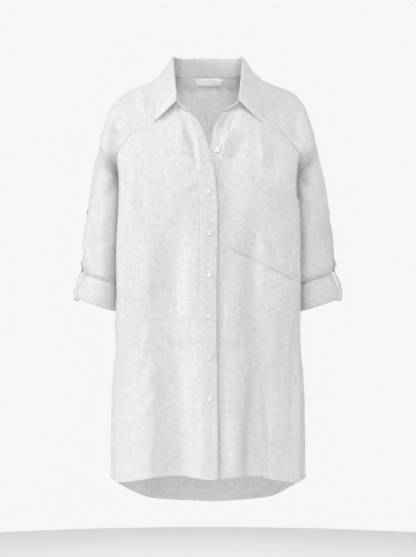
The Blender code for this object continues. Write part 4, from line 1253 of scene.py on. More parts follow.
def add_band(side, front, finish):
    """A front band: a strip of doubled cloth over the front's edge, pulled in at its stitching."""
    columns = len(BAND_STEPS)
    face, normals = front["outer"][:, :columns], front["normals"][:, :columns]
    across, down = np.array(BAND_STEPS)[None, :], face[:, :, 2]
    inner = face + normals * SEAM_GAP
    sunk = sum(hump(across - at, GROOVE) for at in BAND_STITCHES)
    full = smooth_step(0, BAND_SOFT, across) * smooth_step(0, BAND_SOFT, BAND_WIDTH - across)
    near = sum(hump(down - z, BUTTON_REACH) for z in BUTTON_HEIGHTS)
    relief = BAND_SWELL * full * (1 + uneven("band_swell", down, across, side)) - BAND_SINK * sunk
    relief = relief + uneven("band_ripple", down, across, side) * (BAND_RIPPLE + BUTTON_RIPPLE * near)
    relief = np.maximum(relief, BAND_LEAST)
    if side < 0:
        half = BUTTONHOLE_LENGTH / 2
        slit = 1 - smooth_step(half - SLIT_IN, half + SLIT_OUT, np.abs(down - FIRST_BUTTON_Z))
        relief = relief - SLIT_DEPTH * slit * hump(across - BAND_MIDDLE, SLIT_WIDTH)
    outer = inner + normals * (BAND_CLOTH + relief)[..., None]
    outer, inner = (inset(grid, top=BAND_TOP_GAP) for grid in (outer, inner))
    cloth = front["cloth"][:, :columns]
    names = side_name("placket", side), side_name("band", side)
    made = add_sheet(*names, outer, inner, finish, side, cloth, flip=True)
    return {"outer": outer, "normals": normals, "object": made}


def stand_form(u, side):
    base, start, fold, up, out, s = collar_frame(u, side)
    height = column(STAND_SHARE, "share", s) * np.linalg.norm(fold - start, axis=-1)
    turn = np.clip(1 - u / STAND_END_ROUND, 0, 1)
    height = height * np.maximum(np.sqrt(1 - turn**2), STAND_END_LEAST)
    rows = np.linspace(0, 1, STAND_ROWS)[:, None, None]
    foot = SEAM_GAP + HALF_GAP
    return base + up * (foot + (height[:, None] - foot) * rows)


def fall_form(u, side):
    base, start, fold, up, out, s = collar_frame(u, side)
    height = np.linalg.norm(fold - start, axis=-1)[:, None]
    low = column(STAND_SHARE, "share", s)[:, None] * height + SEAM_GAP
    high = height - FOLD_RADIUS
    shares = np.linspace(0, 1, FALL_STAND_ROWS + 1)[:-1]
    rows = [base + up * (low + (high - low) * share) - out * COLLAR_WALL for share in shares]
    centre = fold - up * FOLD_RADIUS + out * (FOLD_RADIUS - COLLAR_WALL)
    for turn in np.radians(FALL_TURN):
        rows.append(centre + FOLD_RADIUS * (up * math.sin(turn) - out * math.cos(turn)))
    begin = rows[-1]
    q, v = column(FALL_EDGE, "q", s), column(FALL_EDGE, "v", s)
    lift = FALL_LIFT + (FALL_TIP_LIFT - FALL_LIFT) * (1 - smooth_step(0, FALL_TIP_TO, s))
    edge = raised(yoke_point, q, v, side, lift + COLLAR_WALL)
    reach = np.linalg.norm(edge - begin, axis=-1)[:, None]
    roll = (FALL_ROLL * smooth_step(0, FALL_ROLL_TO, s))[:, None]
    leave = unit(unit(edge - begin) * (1 - roll) - up * roll)
    arrive = unit(unit(base - edge) + unit(begin - edge))
    for share in np.linspace(0, 1, FALL_LEAF_ROWS + 1)[1:]:
        spots = begin, begin + leave * reach / 3, edge + arrive * reach / 3, edge
        rows.append(bezier(*spots, np.full(len(u), share)))
    return np.stack(rows)


def collar_grid(form, places):
    """A collar piece's whole grid, from front end to front end."""
    return joined(to_world(form(places, -1), -1), form(places, 1))


def add_stand(finish):
    """The stand, sunk at both rows of its stitches."""
    grid = collar_grid(stand_form, np.concatenate([STAND_END_U, COLLAR_PLACES]))
    normals = grid_normals(grid, flip=True)
    up, along = arcs(grid, 0), arcs(grid, 1)
    sunk = hump(up[-1:] - up - STAND_STITCH, GROOVE) + hump(up - STAND_STITCH, GROOVE)
    relief = uneven("stand_face", along, up) - STAND_SINK * sunk
    outer = grid + normals * relief[..., None]
    inner = grid - normals * (COLLAR_WALL - STAND_THIN * uneven("stand_wall", along, up) ** 2)[..., None]
    made = add_sheet("collar_stand_cloth", "collar_stand", outer, inner, finish, flip=True)
    return {"outer": outer, "normals": normals, "object": made}


def add_fall(finish):
    """The fall, with a topstitched and thinned edge and the small dents of a soft collar."""
    grid = collar_grid(fall_form, COLLAR_PLACES)
    normals = grid_normals(grid)
    along, down = arcs(grid, 1), arcs(grid, 0)
    from_rim = np.minimum(down[-1:] - down, np.minimum(along, along[:, -1:] - along))
    turn_at = down[FALL_STAND_ROWS + len(FALL_TURN) - 1][None, :]
    leaf = smooth_step(0, LEAF_SOFT, down - turn_at)
    relief = leaf * (uneven("fall_wide", along, down) + uneven("fall_narrow", along, down))
    relief = relief * (RIM_SHARE + (1 - RIM_SHARE) * smooth_step(0, RIM_SOFT, from_rim))
    relief = relief + leaf * (FALL_SWELL - FALL_SINK * hump(from_rim - COLLAR_EDGE, HEM_ROW_GROOVE))
    relief = relief - FALL_RIM_DIP * leaf * hump(from_rim, ROW_GROOVE)
    outer = grid + normals * relief[..., None]
    inner = outer - normals * (COLLAR_WALL - FALL_THIN * leaf * hump(from_rim, THIN_WIDTH))[..., None]
    made = add_sheet("collar_fall_cloth", "collar_fall", outer, inner, finish)
    return {"outer": outer, "normals": normals, "object": made}


def places_between(starts, length, ends):
    """Places along a length: set distances from its two ends, and even ones between."""
    last = length - np.array(ends)[::-1]
    between = np.linspace(starts[-1], last[0], POCKET_MIDDLE + 2)[1:-1]
    return np.concatenate([starts, between, last])


def add_pocket(finish):
    """The pocket: the front's own relief, a little slack inside, and its hem and stitched edges."""
    across = places_between(POCKET_STEPS, POCKET_WIDTH, POCKET_STEPS)[None, :]
    down = places_between(POCKET_HEM_STEPS, POCKET_HEIGHT, POCKET_STEPS)[:, None]
    across, down = np.broadcast_arrays(across, down)
    cosine, sine = math.cos(POCKET_TILT), math.sin(POCKET_TILT)
    z = POCKET_CORNER_Z - across * sine - down * cosine
    along = POCKET_CORNER_S + across * cosine - down * sine
    t = t_at_arc(along, z)
    from_rim = np.minimum(np.minimum(across, POCKET_WIDTH - across), POCKET_HEIGHT - down)
    inside = smooth_step(0, POCKET_SOFT, from_rim)
    own = crease_height(POCKET_CREASES, along, z) + POCKET_CRUMPLE * crumple(along, z, POCKET_SEED)
    pull = uneven("pocket_pull", across - down, from_rim) * hump(from_rim, POCKET_PULL_REACH)
    hem = POCKET_LAYER * (1 - smooth_step(POCKET_HEM, POCKET_HEM + POCKET_LAYER_SOFT, down))
    rim = POCKET_RIM * (1 - smooth_step(POCKET_ROWS[1], POCKET_ROWS[1] + POCKET_RIM_SOFT, from_rim))
    sunk = hump(down - POCKET_HEM + POCKET_HEM_STITCH, HEM_ROW_GROOVE)
    sunk = sunk + sum(hump(from_rim - at, ROW_GROOVE) for at in POCKET_ROWS)
    relief = hem + rim - POCKET_SINK * sunk + POCKET_PULL * pull * inside
    lift = POCKET_OFF + inside * np.maximum(own + POCKET_SLACK, 0) + POCKET_PULL * (1 + pull) * (1 - inside)
    lift = lift + front_relief_at(along, z, 1)
    outer, inner = body(t, z, 1, lift + POCKET_WALL + relief), body(t, z, 1, lift)
    cloth = np.stack([across, down], -1) + POCKET_SHIFT
    made = add_sheet("pocket_cloth", "pocket", outer, inner, finish, 1, cloth, flip=True)
    return {"outer": outer, "normals": grid_normals(outer, flip=True), "object": made}


def relief_at(sleeve, w, v):
    """A sleeve's relief at any place on it."""
    w, v = np.broadcast_arrays(np.asarray(w, float), np.asarray(v, float))
    count = len(sleeve["rows"])
    found = []
    for a, row in zip(w.flat, np.interp(v, sleeve["rows"], np.arange(count)).flat):
        low = int(row)
        both = low, min(low + 1, count - 1)
        pair = [np.interp(a, sleeve["around"][k], sleeve["relief"][k]) for k in both]
        found.append(pair[0] + (pair[1] - pair[0]) * (row - low))
    return np.array(found).reshape(w.shape)


def cuff_section():
    """The cuff's section with its corners eased: finer points, each the mean of its neighbours."""
    section = np.array(CUFF_SECTION) * CUFF_SCALE
    closed = np.concatenate([section, section[:1]])
    run = run_of(closed)
    at = np.linspace(0, run[-1], len(section) * CUFF_STEPS + 1)[:-1]
    fine = read_line(at, run, closed).T
    for _ in range(2):
        fine = (np.roll(fine, 1, 0) + 2 * fine + np.roll(fine, -1, 0)) / 4
    return fine / CUFF_SCALE


def add_cuff(side, sleeve, finish):
    """A cuff of rolled layers, with the small upright wrinkles of the turned cloth."""
    section = cuff_section()
    around = np.linspace(0, 1, CUFF_AROUND + 1)[None, :]
    v, height = section[:, :1], section[:, 1:]
    outside = smooth_step(*CUFF_OUTSIDE, height)
    length = CUFF_ROUND * around
    wrinkle = uneven("cuff_wrinkle", length, v, side) + uneven("cuff_fine", length, v, side)
    folds = span("cuff_face", v) * wrinkle + uneven("cuff_slack", length, v, side)
    height = height + outside * (folds + CUFF_LAYER * span("cuff_layer", v))
    carried = relief_at(sleeve, around, SLEEVE_LAST_V)
    shown = outside * (1 - smooth_step(*CUFF_CARRY_TO, v))
    height = height + carried * (CUFF_CARRY + CUFF_CARRY_OUTSIDE * shown)
    grid = raised(sleeve_point, around, v, side, height)[:, :-1]
    number = np.arange(grid.shape[0] * grid.shape[1]).reshape(grid.shape[:2])
    below = np.roll(number, -1, 0)
    faces = np.stack([number, below, np.roll(below, -1, 1), np.roll(number, -1, 1)], -1).reshape(-1, 4)
    cloth = np.stack(np.broadcast_arrays(length[:, :-1], CUFF_SCALE[0] * v), -1).reshape(-1, 2) + CUFF_SHIFT
    points = grid.reshape(-1, 3)
    made = add_mesh(side_name("rolled_cuff", side), points, faces.tolist(), finish, side, cloth)
    finish_piece(made, side_name("cuff", side))
    normals = unit(np.cross(np.roll(grid, -1, 0) - grid, np.roll(grid, -1, 1) - grid))
    places = [np.argmin(np.abs(v[:, 0] - at) + 10 * (height[:, 0] < CUFF_FACE_HEIGHT)) for at in CUFF_ROWS]
    return {"object": made, "lines": [(grid[place], normals[place]) for place in places]}


def add_strap(side, sleeve, finish):
    """A sleeve strap: a doubled, edge-stitched tape over the cuff, round its foot and up inside."""
    count = len(STRAP_PATH["v"])
    at = np.linspace(0, count - 1, STRAP_ROWS + 1)[:, None]
    v, height = (np.interp(at, np.arange(count), STRAP_PATH[name]) for name in ("v", "height"))
    for _ in range(2):
        for values in (v, height):
            values[1:-1] = (values[:-2] + 2 * values[1:-1] + values[2:]) / 4
    share = np.linspace(-1, 1, STRAP_ACROSS + 1)[None, :]
    turn = 1 - np.clip((at + STRAP_END_FROM) / STRAP_END_LENGTH, 0, 1)
    taper = np.sqrt(np.clip(1 - turn**2, STRAP_END_LEAST, 1))
    w = STRAP_W + STRAP_HALF_WIDTH * share * taper
    carried = relief_at(sleeve, STRAP_W, np.minimum(v, SLEEVE_LAST_V))
    carried = carried * (1 - smooth_step(*STRAP_CARRY_TO, v))
    crown = STRAP_CROWN * (1 - share**4) - STRAP_SINK * hump(np.abs(share) - STRAP_ROW_AT, STRAP_ROW_WIDTH)
    height = height + carried + crown + uneven("strap", at, share, side)
    height = height + STRAP_TWIST * share * span("strap_loose", v) * (height > 0)
    outer = raised(sleeve_point, w, v, side, height)
    normals = grid_normals(outer, flip=True)
    names = side_name("strap_cloth", side), side_name("strap", side)
    made = add_sheet(*names, outer, outer - normals * STRAP_WALL, finish, side, flip=True)
    return {"outer": outer, "normals": normals, "object": made}


def button_rings():
    """The radius and the height of each ring of a button: its side, its rim and its dish."""
    rings = [(BUTTON_RADIUS * share, height) for share, height in BUTTON_SIDE]
    for share in BUTTON_RINGS[::-1]:
        dish = BUTTON_DISH * (1 - smooth_step(*DISH_EDGE, share))
        edge = BUTTON_EDGE * smooth_step(EDGE_FROM, 1.0, share) ** 2
        level = BUTTON_THICK - dish + BUTTON_RIM * hump(share - RIM_AT, RIM_WIDTH) - edge
        rings.append((BUTTON_RADIUS * share, level))
    return rings


def button_hole_depth(x, y):
    """How deep the four holes are at places on a button's face."""
    depth = np.zeros(len(x))
    low, high = (HOLE_RADIUS * share for share in HOLE_SLOPE)
    for angle in math.pi / 4 + np.arange(4) * math.pi / 2:
        away = np.hypot(x - HOLE_AT * math.cos(angle), y - HOLE_AT * math.sin(angle))
        depth = np.maximum(depth, 1 - smooth_step(low, high, away))
    return HOLE_DEPTH * depth


def add_pearl_button(node, place, normal, side, finish, threads, twist):
    """A four-hole button: a raised rim, a dish with four holes, and rounded edges. Its threads go
    into the heap of stitches."""
    across = unit(np.cross(normal, (0.0, 0.0, 1.0)))
    upward = np.cross(normal, across)
    first = across * math.cos(twist) + upward * math.sin(twist)
    second = upward * math.cos(twist) - across * math.sin(twist)
    turns = np.arange(BUTTON_TURNS) * 2 * math.pi / BUTTON_TURNS
    rings = button_rings()
    points = []
    for radius, level in rings:
        x, y = radius * np.cos(turns), radius * np.sin(turns)
        level = level - button_hole_depth(x, y) * (level > HOLE_FLOOR)
        points.append(place + normal * level[:, None] + first * x[:, None] + second * y[:, None])
    top = place + normal * (BUTTON_THICK - BUTTON_DISH)
    points = np.concatenate(points + [place[None], top[None]])
    start, after = np.arange(BUTTON_TURNS), (np.arange(BUTTON_TURNS) + 1) % BUTTON_TURNS
    ring = BUTTON_TURNS * np.arange(len(rings) - 1)[:, None]
    foot, last = len(points) - 2, BUTTON_TURNS * (len(rings) - 1)
    corners = ring + start, ring + after, ring + after + BUTTON_TURNS, ring + start + BUTTON_TURNS
    faces = np.stack(corners, -1).reshape(-1, 4).tolist()
    for a, b in zip(start.tolist(), after.tolist()):
        faces += [(b, a, foot), (last + a, last + b, foot + 1)]
    made = add_mesh("pearl_" + node, points, faces, finish, side, points[:, [0, 2]])
    finish_piece(made, node)
    centre, out, one, two = (to_world(value, side) for value in (top, normal, first, second))
    reach = HOLE_AT * math.cos(math.pi / 4)
    for offset in (-reach, reach):
        for lift in (-THREAD_APART, THREAD_APART):
            spot = centre + two * (offset + lift) + out * THREAD_OFF
            threads.add(spot, one, out, THREAD_REACH * reach, *THREAD_SIZE)


def buttonhole(stitches, points, normals, side):
    """A worked buttonhole: close stitches round a slit, over a line of points down the band."""
    points, normals = to_world(points, side), to_world(normals, side)
    run = run_of(points)
    half = BUTTONHOLE_LENGTH / 2
    size = BUTTONHOLE_WIDTH / 2, *BUTTONHOLE_SIZE
    for at in np.arange(-half, half + SMALL_LENGTH, BUTTONHOLE_PITCH):
        spot, start, end = (read_line(run[-1] / 2 + at + step, run, points) for step in (0, -1, 1))
        normal = unit(read_line(run[-1] / 2 + at, run, normals))
        beside = unit(np.cross(normal, unit(end - start)))
        reach = BUTTONHOLE_TACK if abs(at) > half - TACK_LENGTH else SLIT_HALF + BUTTONHOLE_WIDTH / 4
        for turn in (-1, 1):
            stitches.add(spot + beside * turn * reach, beside, normal, *size)


def add_bare_label(back, finish):
    """The bare label on the inside of the back, its slanted ends folded under."""
    across, down = np.linspace(-0.5, 0.5, LABEL_COLUMNS)[None, :], np.linspace(0, 1, LABEL_ROWS)[:, None]
    z = BACK_NECK_Z - LABEL_DROP - LABEL_HEIGHT * down
    x = LABEL_X + (LABEL_WIDTH + LABEL_SLANT * (1 - 2 * down)) * across
    x, z = np.broadcast_arrays(x, z)
    inner = back["inner"]
    centre = np.argmin(np.abs(back["cloth"][0, :, 0]))
    heights = back["grid"][:, centre, 2]
    spots = np.zeros(x.shape + (3,))
    for index in np.ndindex(x.shape):
        row = np.interp(-z[index], -heights, np.arange(len(heights)))
        low = int(row)
        line = inner[low] * (1 - row + low) + inner[low + 1] * (row - low)
        spots[index] = read_line(x[index], line[:, 0], line)
    normals = -grid_normals(spots)
    normals = np.where(normals[..., 1:2] > 0, -normals, normals)
    from_end = np.minimum(across + 0.5, 0.5 - across) * LABEL_WIDTH
    puff = LABEL_PUFF * smooth_step(*LABEL_END_SOFT, from_end)
    puff = puff * smooth_step(*LABEL_TOP_SOFT, down * LABEL_HEIGHT)
    fold = LABEL_FOLD * (1 - smooth_step(*LABEL_FOLD_AT, from_end))
    lift = LABEL_GAP + LABEL_CLOTH + puff + fold + uneven("label", x, z)
    outer, inner = spots + normals * lift[..., None], spots + normals * LABEL_GAP
    made = add_sheet("bare_label", "label", outer, inner, finish, slot="satin")
    return {"outer": outer, "normals": normals, "object": made}


def row_at(panel, column_index, z):
    """The fractional row at which one of a panel's columns comes to the height z."""
    heights = panel["outer"][:, column_index, 2]
    return np.interp(-z, -heights, np.arange(len(heights)))


def at_row(values, row, column_index):
    low = int(row)
    share = row - low
    return values[low, column_index] * (1 - share) + values[low + 1, column_index] * share


def add_buttons(fronts, bands, sleeves, straps, finish, thread):
    """The buttons of the bands, the straps and the sleeves, their threads and the buttonholes."""
    holes, threads = Stitches(), Stitches()
    middle = BAND_STEPS.index(BAND_MIDDLE)
    for number, z in enumerate(BUTTON_HEIGHTS):
        side = 1 if number == 0 else -1
        row = row_at(bands[side], middle, z)
        normal = unit(at_row(fronts[side]["normals"], row, middle))
        spot = at_row(bands[side]["outer"], row, middle) + normal * BUTTON_OFF
        add_pearl_button(f"button_{number + 1}", spot, normal, side, finish, threads, 0.3 + number)
        rows = int(row_at(bands[-1], middle, z)) + np.arange(-3, 4)
        buttonhole(holes, bands[-1]["outer"][rows, middle], bands[-1]["normals"][rows, middle], -1)
    for side in SIDES:
        first = slice(STRAP_FIRST_ROWS), STRAP_ACROSS // 2
        outer, normals = (straps[side][name][first] for name in ("outer", "normals"))
        place = frame_at(sleeve_point, STRAP_W, STRAP_BUTTON_V, side, STRAP_BUTTON_OUT)[0]
        row = np.argmin(np.linalg.norm(outer - place, axis=1))
        spot, normal = outer[row] + normals[row] * STRAP_BUTTON_OFF, normals[row]
        add_pearl_button(side_name("strap_button", side), spot, normal, side, finish, threads, 0.8)
        where = SLEEVE_BUTTON_W, SLEEVE_BUTTON_V
        lift = float(relief_at(sleeves[side], *where)) + BUTTON_OFF
        spot, normal = frame_at(sleeve_point, *where, side, lift)
        add_pearl_button(side_name("sleeve_button", side), spot, normal, side, finish, threads, 0.5)
    holes.make("buttonhole_stitches", thread)
    threads.make("button_threads", thread, "pearl")


def add_stitching(back, fronts, sleeves, bands, stand, fall, pocket, cuffs, straps, thread):
    """Every row of stitches, a mesh for each kind."""
    hems = [(line_at(back, "bottom", BACK_HEM - HEM_STITCH_IN), 1, False)]
    seams, plackets, arms = [], [], []
    for side in SIDES:
        hems.append((line_at(fronts[side], "bottom", FRONT_HEM - HEM_STITCH_IN), side, False))
        seams += [
            (line_at(fronts[side], "right", SEAM_STITCH_AT), side, False),
            (line_at(back, "right" if side > 0 else "left", SEAM_STITCH_AT), 1, False),
            (line_at(sleeves[side], "left", SEAM_STITCH_AT), side, False),
        ]
        arms += [(line, side, True) for line in cuffs[side]["lines"]]
        for edge in ("left", "right"):
            plackets.append((line_at(bands[side], edge, BAND_STITCHES[0]), side, False))
            arms.append((line_at(straps[side], edge, STRAP_EDGE), side, False))
    collar = [(line_at(fall, edge, COLLAR_EDGE), 1, False) for edge in ("left", "right", "bottom")]
    collar += [(line_at(stand, edge, STAND_STITCH), 1, False) for edge in ("top", "bottom")]
    pocket_rows = [
        (line_at(pocket, edge, at), 1, False) for edge in ("left", "right", "bottom") for at in POCKET_ROWS
    ]
    pocket_rows.append((line_at(pocket, "top", POCKET_HEM - POCKET_HEM_STITCH), 1, False))
    names = "hem", "seam", "placket", "collar", "pocket", "sleeve"
    for name, rows in zip(names, (hems, seams, plackets, collar, pocket_rows, arms)):
        stitch_rows(name + "_stitches", thread, rows)


class Nodes:
    """A short way to write a material's nodes."""

    def __init__(self, name):
        self.material = bpy.data.materials.new(name)
        self.material.use_nodes = True
        self.tree = self.material.node_tree
        self.shader = self.tree.nodes["Principled BSDF"]

    def add(self, kind, settings=None, **inputs):
        node = self.tree.nodes.new("ShaderNode" + kind)
        for key, value in (settings or {}).items():
            setattr(node, key, value)
        for key, value in inputs.items():
            self.put(node, key.replace("_", " "), value)
        return node

    def put(self, node, socket, value):
        target = node.inputs[int(socket)] if socket.isdigit() else node.inputs[socket]
        if isinstance(value, bpy.types.NodeSocket):
            self.tree.links.new(value, target)
        else:
            target.default_value = value

    def maths(self, operation, first, second=0.0, third=0.0):
        node = self.add("Math", {"operation": operation})
        for index, value in enumerate((first, second, third)):
            self.put(node, str(index), value)
        return node.outputs[0]

    def noise(self, where, scale, detail=2.0, roughness=0.5):
        inputs = {"Vector": where, "Scale": scale, "Detail": detail, "Roughness": roughness}
        return self.add("TexNoise", None, **inputs).outputs[0]

    def blend(self, first, share, second, other):
        """The sum of a share of one height and a share of the other."""
        return self.maths("ADD", self.maths("MULTIPLY", first, share), self.maths("MULTIPLY", second, other))

    def paint(self, factor, dark, light):
        """Colours the surface from dark to light by a factor."""
        mix = self.add("Mix", {"data_type": "RGBA"}, Factor=factor)
        mix.inputs["A"].default_value = dark
        mix.inputs["B"].default_value = light
        self.put(self.shader, "Base Color", mix.outputs["Result"])
        return mix.outputs["Result"]

    def emboss(self, height, strength, distance):
        """Gives the surface a small relief, its distance in metres."""
        bump = self.add("Bump", None, Height=height)
        bump.inputs["Strength"].default_value = strength
        bump.inputs["Distance"].default_value = distance
        self.put(self.shader, "Normal", bump.outputs["Normal"])

    def let_light_through(self, colour, share):
        """Mixes in a translucent shader, so that thin cloth also shows the light behind it."""
        through = self.add("BsdfTranslucent", None, Color=colour)
        mix = self.add("MixShader", None, Fac=share)
        self.put(mix, "1", self.shader.outputs["BSDF"])
        self.put(mix, "2", through.outputs["BSDF"])
        self.put(self.tree.nodes["Material Output"], "Surface", mix.outputs["Shader"])

    def scaled(self, where, scale):
        node = self.add("VectorMath", {"operation": "MULTIPLY"})
        self.put(node, "0", where)
        self.put(node, "1", scale)
        return node.outputs[0]


# Colours of the finishes, from the darkest tone to the lightest, and the thread's dark share of its own
LINEN = ((0.80, 0.80, 0.80, 1), (0.97, 0.97, 0.965, 1))
THREAD = (0.86, 0.86, 0.855, 1)
THREAD_DARK = 0.9
PEARL = ((0.72, 0.72, 0.71, 1), (0.88, 0.88, 0.87, 1))
SATIN = ((0.74, 0.74, 0.74, 1), (0.88, 0.88, 0.88, 1))
FLOOR = ((0.74, 0.74, 0.74, 1), (0.77, 0.77, 0.77, 1))
# Strength and depth in metres of each finish's own relief
RELIEFS = {"linen": (0.75, 0.0011), "thread": (0.4, 0.0002), "pearl": (0.2, 0.0003), "satin": (0.35, 0.0003)}
# Waves to the metre along each axis: plies of the thread, clouds of the shell, ribs of the tape
PLY_WAVES = (2600.0, 2600.0, 1900.0)
SHELL_WAVES = (240.0, 240.0, 520.0)
RIB_WAVES = (2400.0, 120.0, 1.0)
TAPE_CLOUD_WAVES = 160.0
# Noises of the linen: scale, detail and roughness
SLUB_NOISE = (1.0, 3.0, 0.65)
STREAK_NOISE = (1.0, 2.0, 0.55)
MOTTLE_NOISE = (95.0, 4.0, 0.6)
# Shares of them in its tone and in its relief, and the tones that turn to its dark and light ends
SLUB_SHARE, STREAK_SHARE = 0.62, 0.38
THREAD_TONE, MOTTLE_TONE = 0.7, 0.3
TONE_FROM, TONE_TO = 0.38, 0.60
THREAD_HEIGHT, WEAVE_HEIGHT, MOTTLE_HEIGHT = 1.4, 0.06, 0.35
LINEN_ROUGHNESS, THREAD_SMOOTHNESS = 0.94, -0.12
TRANSLUCENT_SHARE = 0.3
# Threads of the weave are this far apart, in metres
WEAVE_PITCH = 0.00062
# Slubs: thicker stretches of thread, as long and thin noise, in waves to the metre
SLUB_LONG = 62.0
SLUB_THIN = 780.0
STREAK_LONG = 11.0
STREAK_THIN = 330.0


def linen_material():
    """White slubbed linen: threads both ways, thick and thin stretches, and soft uneven tone."""
    n = Nodes("linen")
    cloth = n.add("Attribute", {"attribute_name": "cloth"}).outputs["Vector"]
    ways = []
    for long_way in (0, 1):
        slub = [SLUB_THIN, SLUB_THIN, 1.0]
        slub[long_way] = SLUB_LONG
        streak = [STREAK_THIN, STREAK_THIN, 1.0]
        streak[long_way] = STREAK_LONG
        fine = n.noise(n.scaled(cloth, slub), *SLUB_NOISE)
        wide = n.noise(n.scaled(cloth, streak), *STREAK_NOISE)
        ways.append(n.blend(fine, SLUB_SHARE, wide, STREAK_SHARE))
    threads = n.maths("MULTIPLY", n.maths("ADD", ways[0], ways[1]), 0.5)
    mottle = n.noise(cloth, *MOTTLE_NOISE)
    turn = 2 * math.pi / WEAVE_PITCH
    parts = n.add("SeparateXYZ", None, Vector=cloth)
    warp = n.maths("SINE", n.maths("MULTIPLY", parts.outputs["X"], turn))
    weft = n.maths("SINE", n.maths("MULTIPLY", parts.outputs["Y"], turn))
    weave = n.maths("MULTIPLY", warp, weft)
    tone = n.blend(threads, THREAD_TONE, mottle, MOTTLE_TONE)
    ramp = n.add("MapRange", None, Value=tone)
    for socket, value in (("From Min", TONE_FROM), ("From Max", TONE_TO), ("To Min", 0.0), ("To Max", 1.0)):
        ramp.inputs[socket].default_value = value
    colour = n.paint(ramp.outputs["Result"], *LINEN)
    height = n.blend(threads, THREAD_HEIGHT, weave, WEAVE_HEIGHT)
    height = n.maths("ADD", height, n.maths("MULTIPLY", mottle, MOTTLE_HEIGHT))
    n.emboss(height, *RELIEFS["linen"])
    rough = n.maths("ADD", n.maths("MULTIPLY", threads, THREAD_SMOOTHNESS), LINEN_ROUGHNESS)
    n.put(n.shader, "Roughness", rough)
    n.shader.inputs["Specular IOR Level"].default_value = 0.22
    n.shader.inputs["Sheen Weight"].default_value = 0.12
    n.shader.inputs["Sheen Roughness"].default_value = 0.5
    n.let_light_through(colour, TRANSLUCENT_SHARE)
    return n.material


def thread_material():
    """Twisted sewing thread: fine slanting ply lines."""
    n = Nodes("thread")
    where = n.add("TexCoord").outputs["Object"]
    ply = n.noise(n.scaled(where, PLY_WAVES), 1.0, 2.0)
    n.paint(ply, [tone * THREAD_DARK for tone in THREAD[:3]] + [1], THREAD)
    n.emboss(ply, *RELIEFS["thread"])
    n.shader.inputs["Roughness"].default_value = 0.7
    n.shader.inputs["Sheen Weight"].default_value = 0.2
    return n.material


def pearl_material():
    """Trochus shell: white, with soft cloudy bands and a clear gloss."""
    n = Nodes("pearl")
    where = n.add("TexCoord").outputs["Object"]
    cloud = n.noise(n.scaled(where, SHELL_WAVES), 1.0, 4.0, 0.6)
    n.paint(cloud, *PEARL)
    n.put(n.shader, "Roughness", n.maths("ADD", n.maths("MULTIPLY", cloud, 0.2), 0.16))
    n.emboss(cloud, *RELIEFS["pearl"])
    n.shader.inputs["Coat Weight"].default_value = 0.15
    n.shader.inputs["Coat Roughness"].default_value = 0.2
    return n.material


def satin_material():
    """A woven satin tape: close ribs across it and a soft shine."""
    n = Nodes("satin")
    cloth = n.add("Attribute", {"attribute_name": "cloth"}).outputs["Vector"]
    ribs = n.noise(n.scaled(cloth, RIB_WAVES), 1.0, 2.0)
    cloud = n.noise(cloth, TAPE_CLOUD_WAVES)
    tone = n.blend(ribs, 0.5, cloud, 0.5)
    n.paint(tone, *SATIN)
    n.put(n.shader, "Roughness", n.maths("ADD", n.maths("MULTIPLY", ribs, 0.2), 0.42))
    n.emboss(tone, *RELIEFS["satin"])
    n.shader.inputs["Sheen Weight"].default_value = 0.2
    return n.material


# The camera's distance and height in metres, and its lens and sensor in millimetres
CAMERA_DISTANCE = 2.8
CAMERA_HEIGHT = -0.413
CAMERA_LENS = 87.8
SENSOR = 36.0
# The backdrop that the camera sees, and the dimmer light all round, with its shares from below and above
BACKDROP_TONE = 0.922
AMBIENT_TONE = 0.23
FROM_BELOW, FROM_ABOVE = 0.62, 1.38
LIGHT_DISTANCE = 4.0
# Name, azimuth from the front towards the wearer's left, elevation, size in metres and power
LIGHTS = (
    ("key", -72, 14, 1.4, 76),
    ("front", 2, 8, 2.0, 49),
    ("front_high", 4, 50, 2.0, 70),
    ("back", -135, 20, 2.0, 30),
    ("right_side", 100, 14, 2.0, 46),
    ("behind", 176, 34, 2.0, 108),
)
FLOOR_Z = -1.62
FLOOR_RADIUS = 3.6
FLOOR_BACK = 0.2
FLOOR_TURNS = 96


def add_camera():
    data = bpy.data.cameras.new("camera")
    data.lens = CAMERA_LENS
    data.sensor_width = SENSOR
    data.sensor_fit = "AUTO"
    made = bpy.data.objects.new("camera", data)
    bpy.context.collection.objects.link(made)
    made.location = (0, -CAMERA_DISTANCE, CAMERA_HEIGHT)
    made.rotation_euler = (math.pi / 2, 0, 0)
    bpy.context.scene.camera = made


def add_light(name, azimuth, elevation, size, power):
    """A soft square light, LIGHT_DISTANCE from the middle of the shirt and turned to it."""
    data = bpy.data.lights.new(name, "AREA")
    data.size = size
    data.energy = power
    made = bpy.data.objects.new(name, data)
    bpy.context.collection.objects.link(made)
    turn, rise = math.radians(azimuth), math.radians(elevation)
    middle = Vector((0, 0, CAMERA_HEIGHT))
    way = Vector((math.sin(turn) * math.cos(rise), -math.cos(turn) * math.cos(rise), math.sin(rise)))
    made.location = middle + way * LIGHT_DISTANCE
    made.rotation_euler = (-way).to_track_quat("-Z", "Y").to_euler()
    made.visible_camera = False


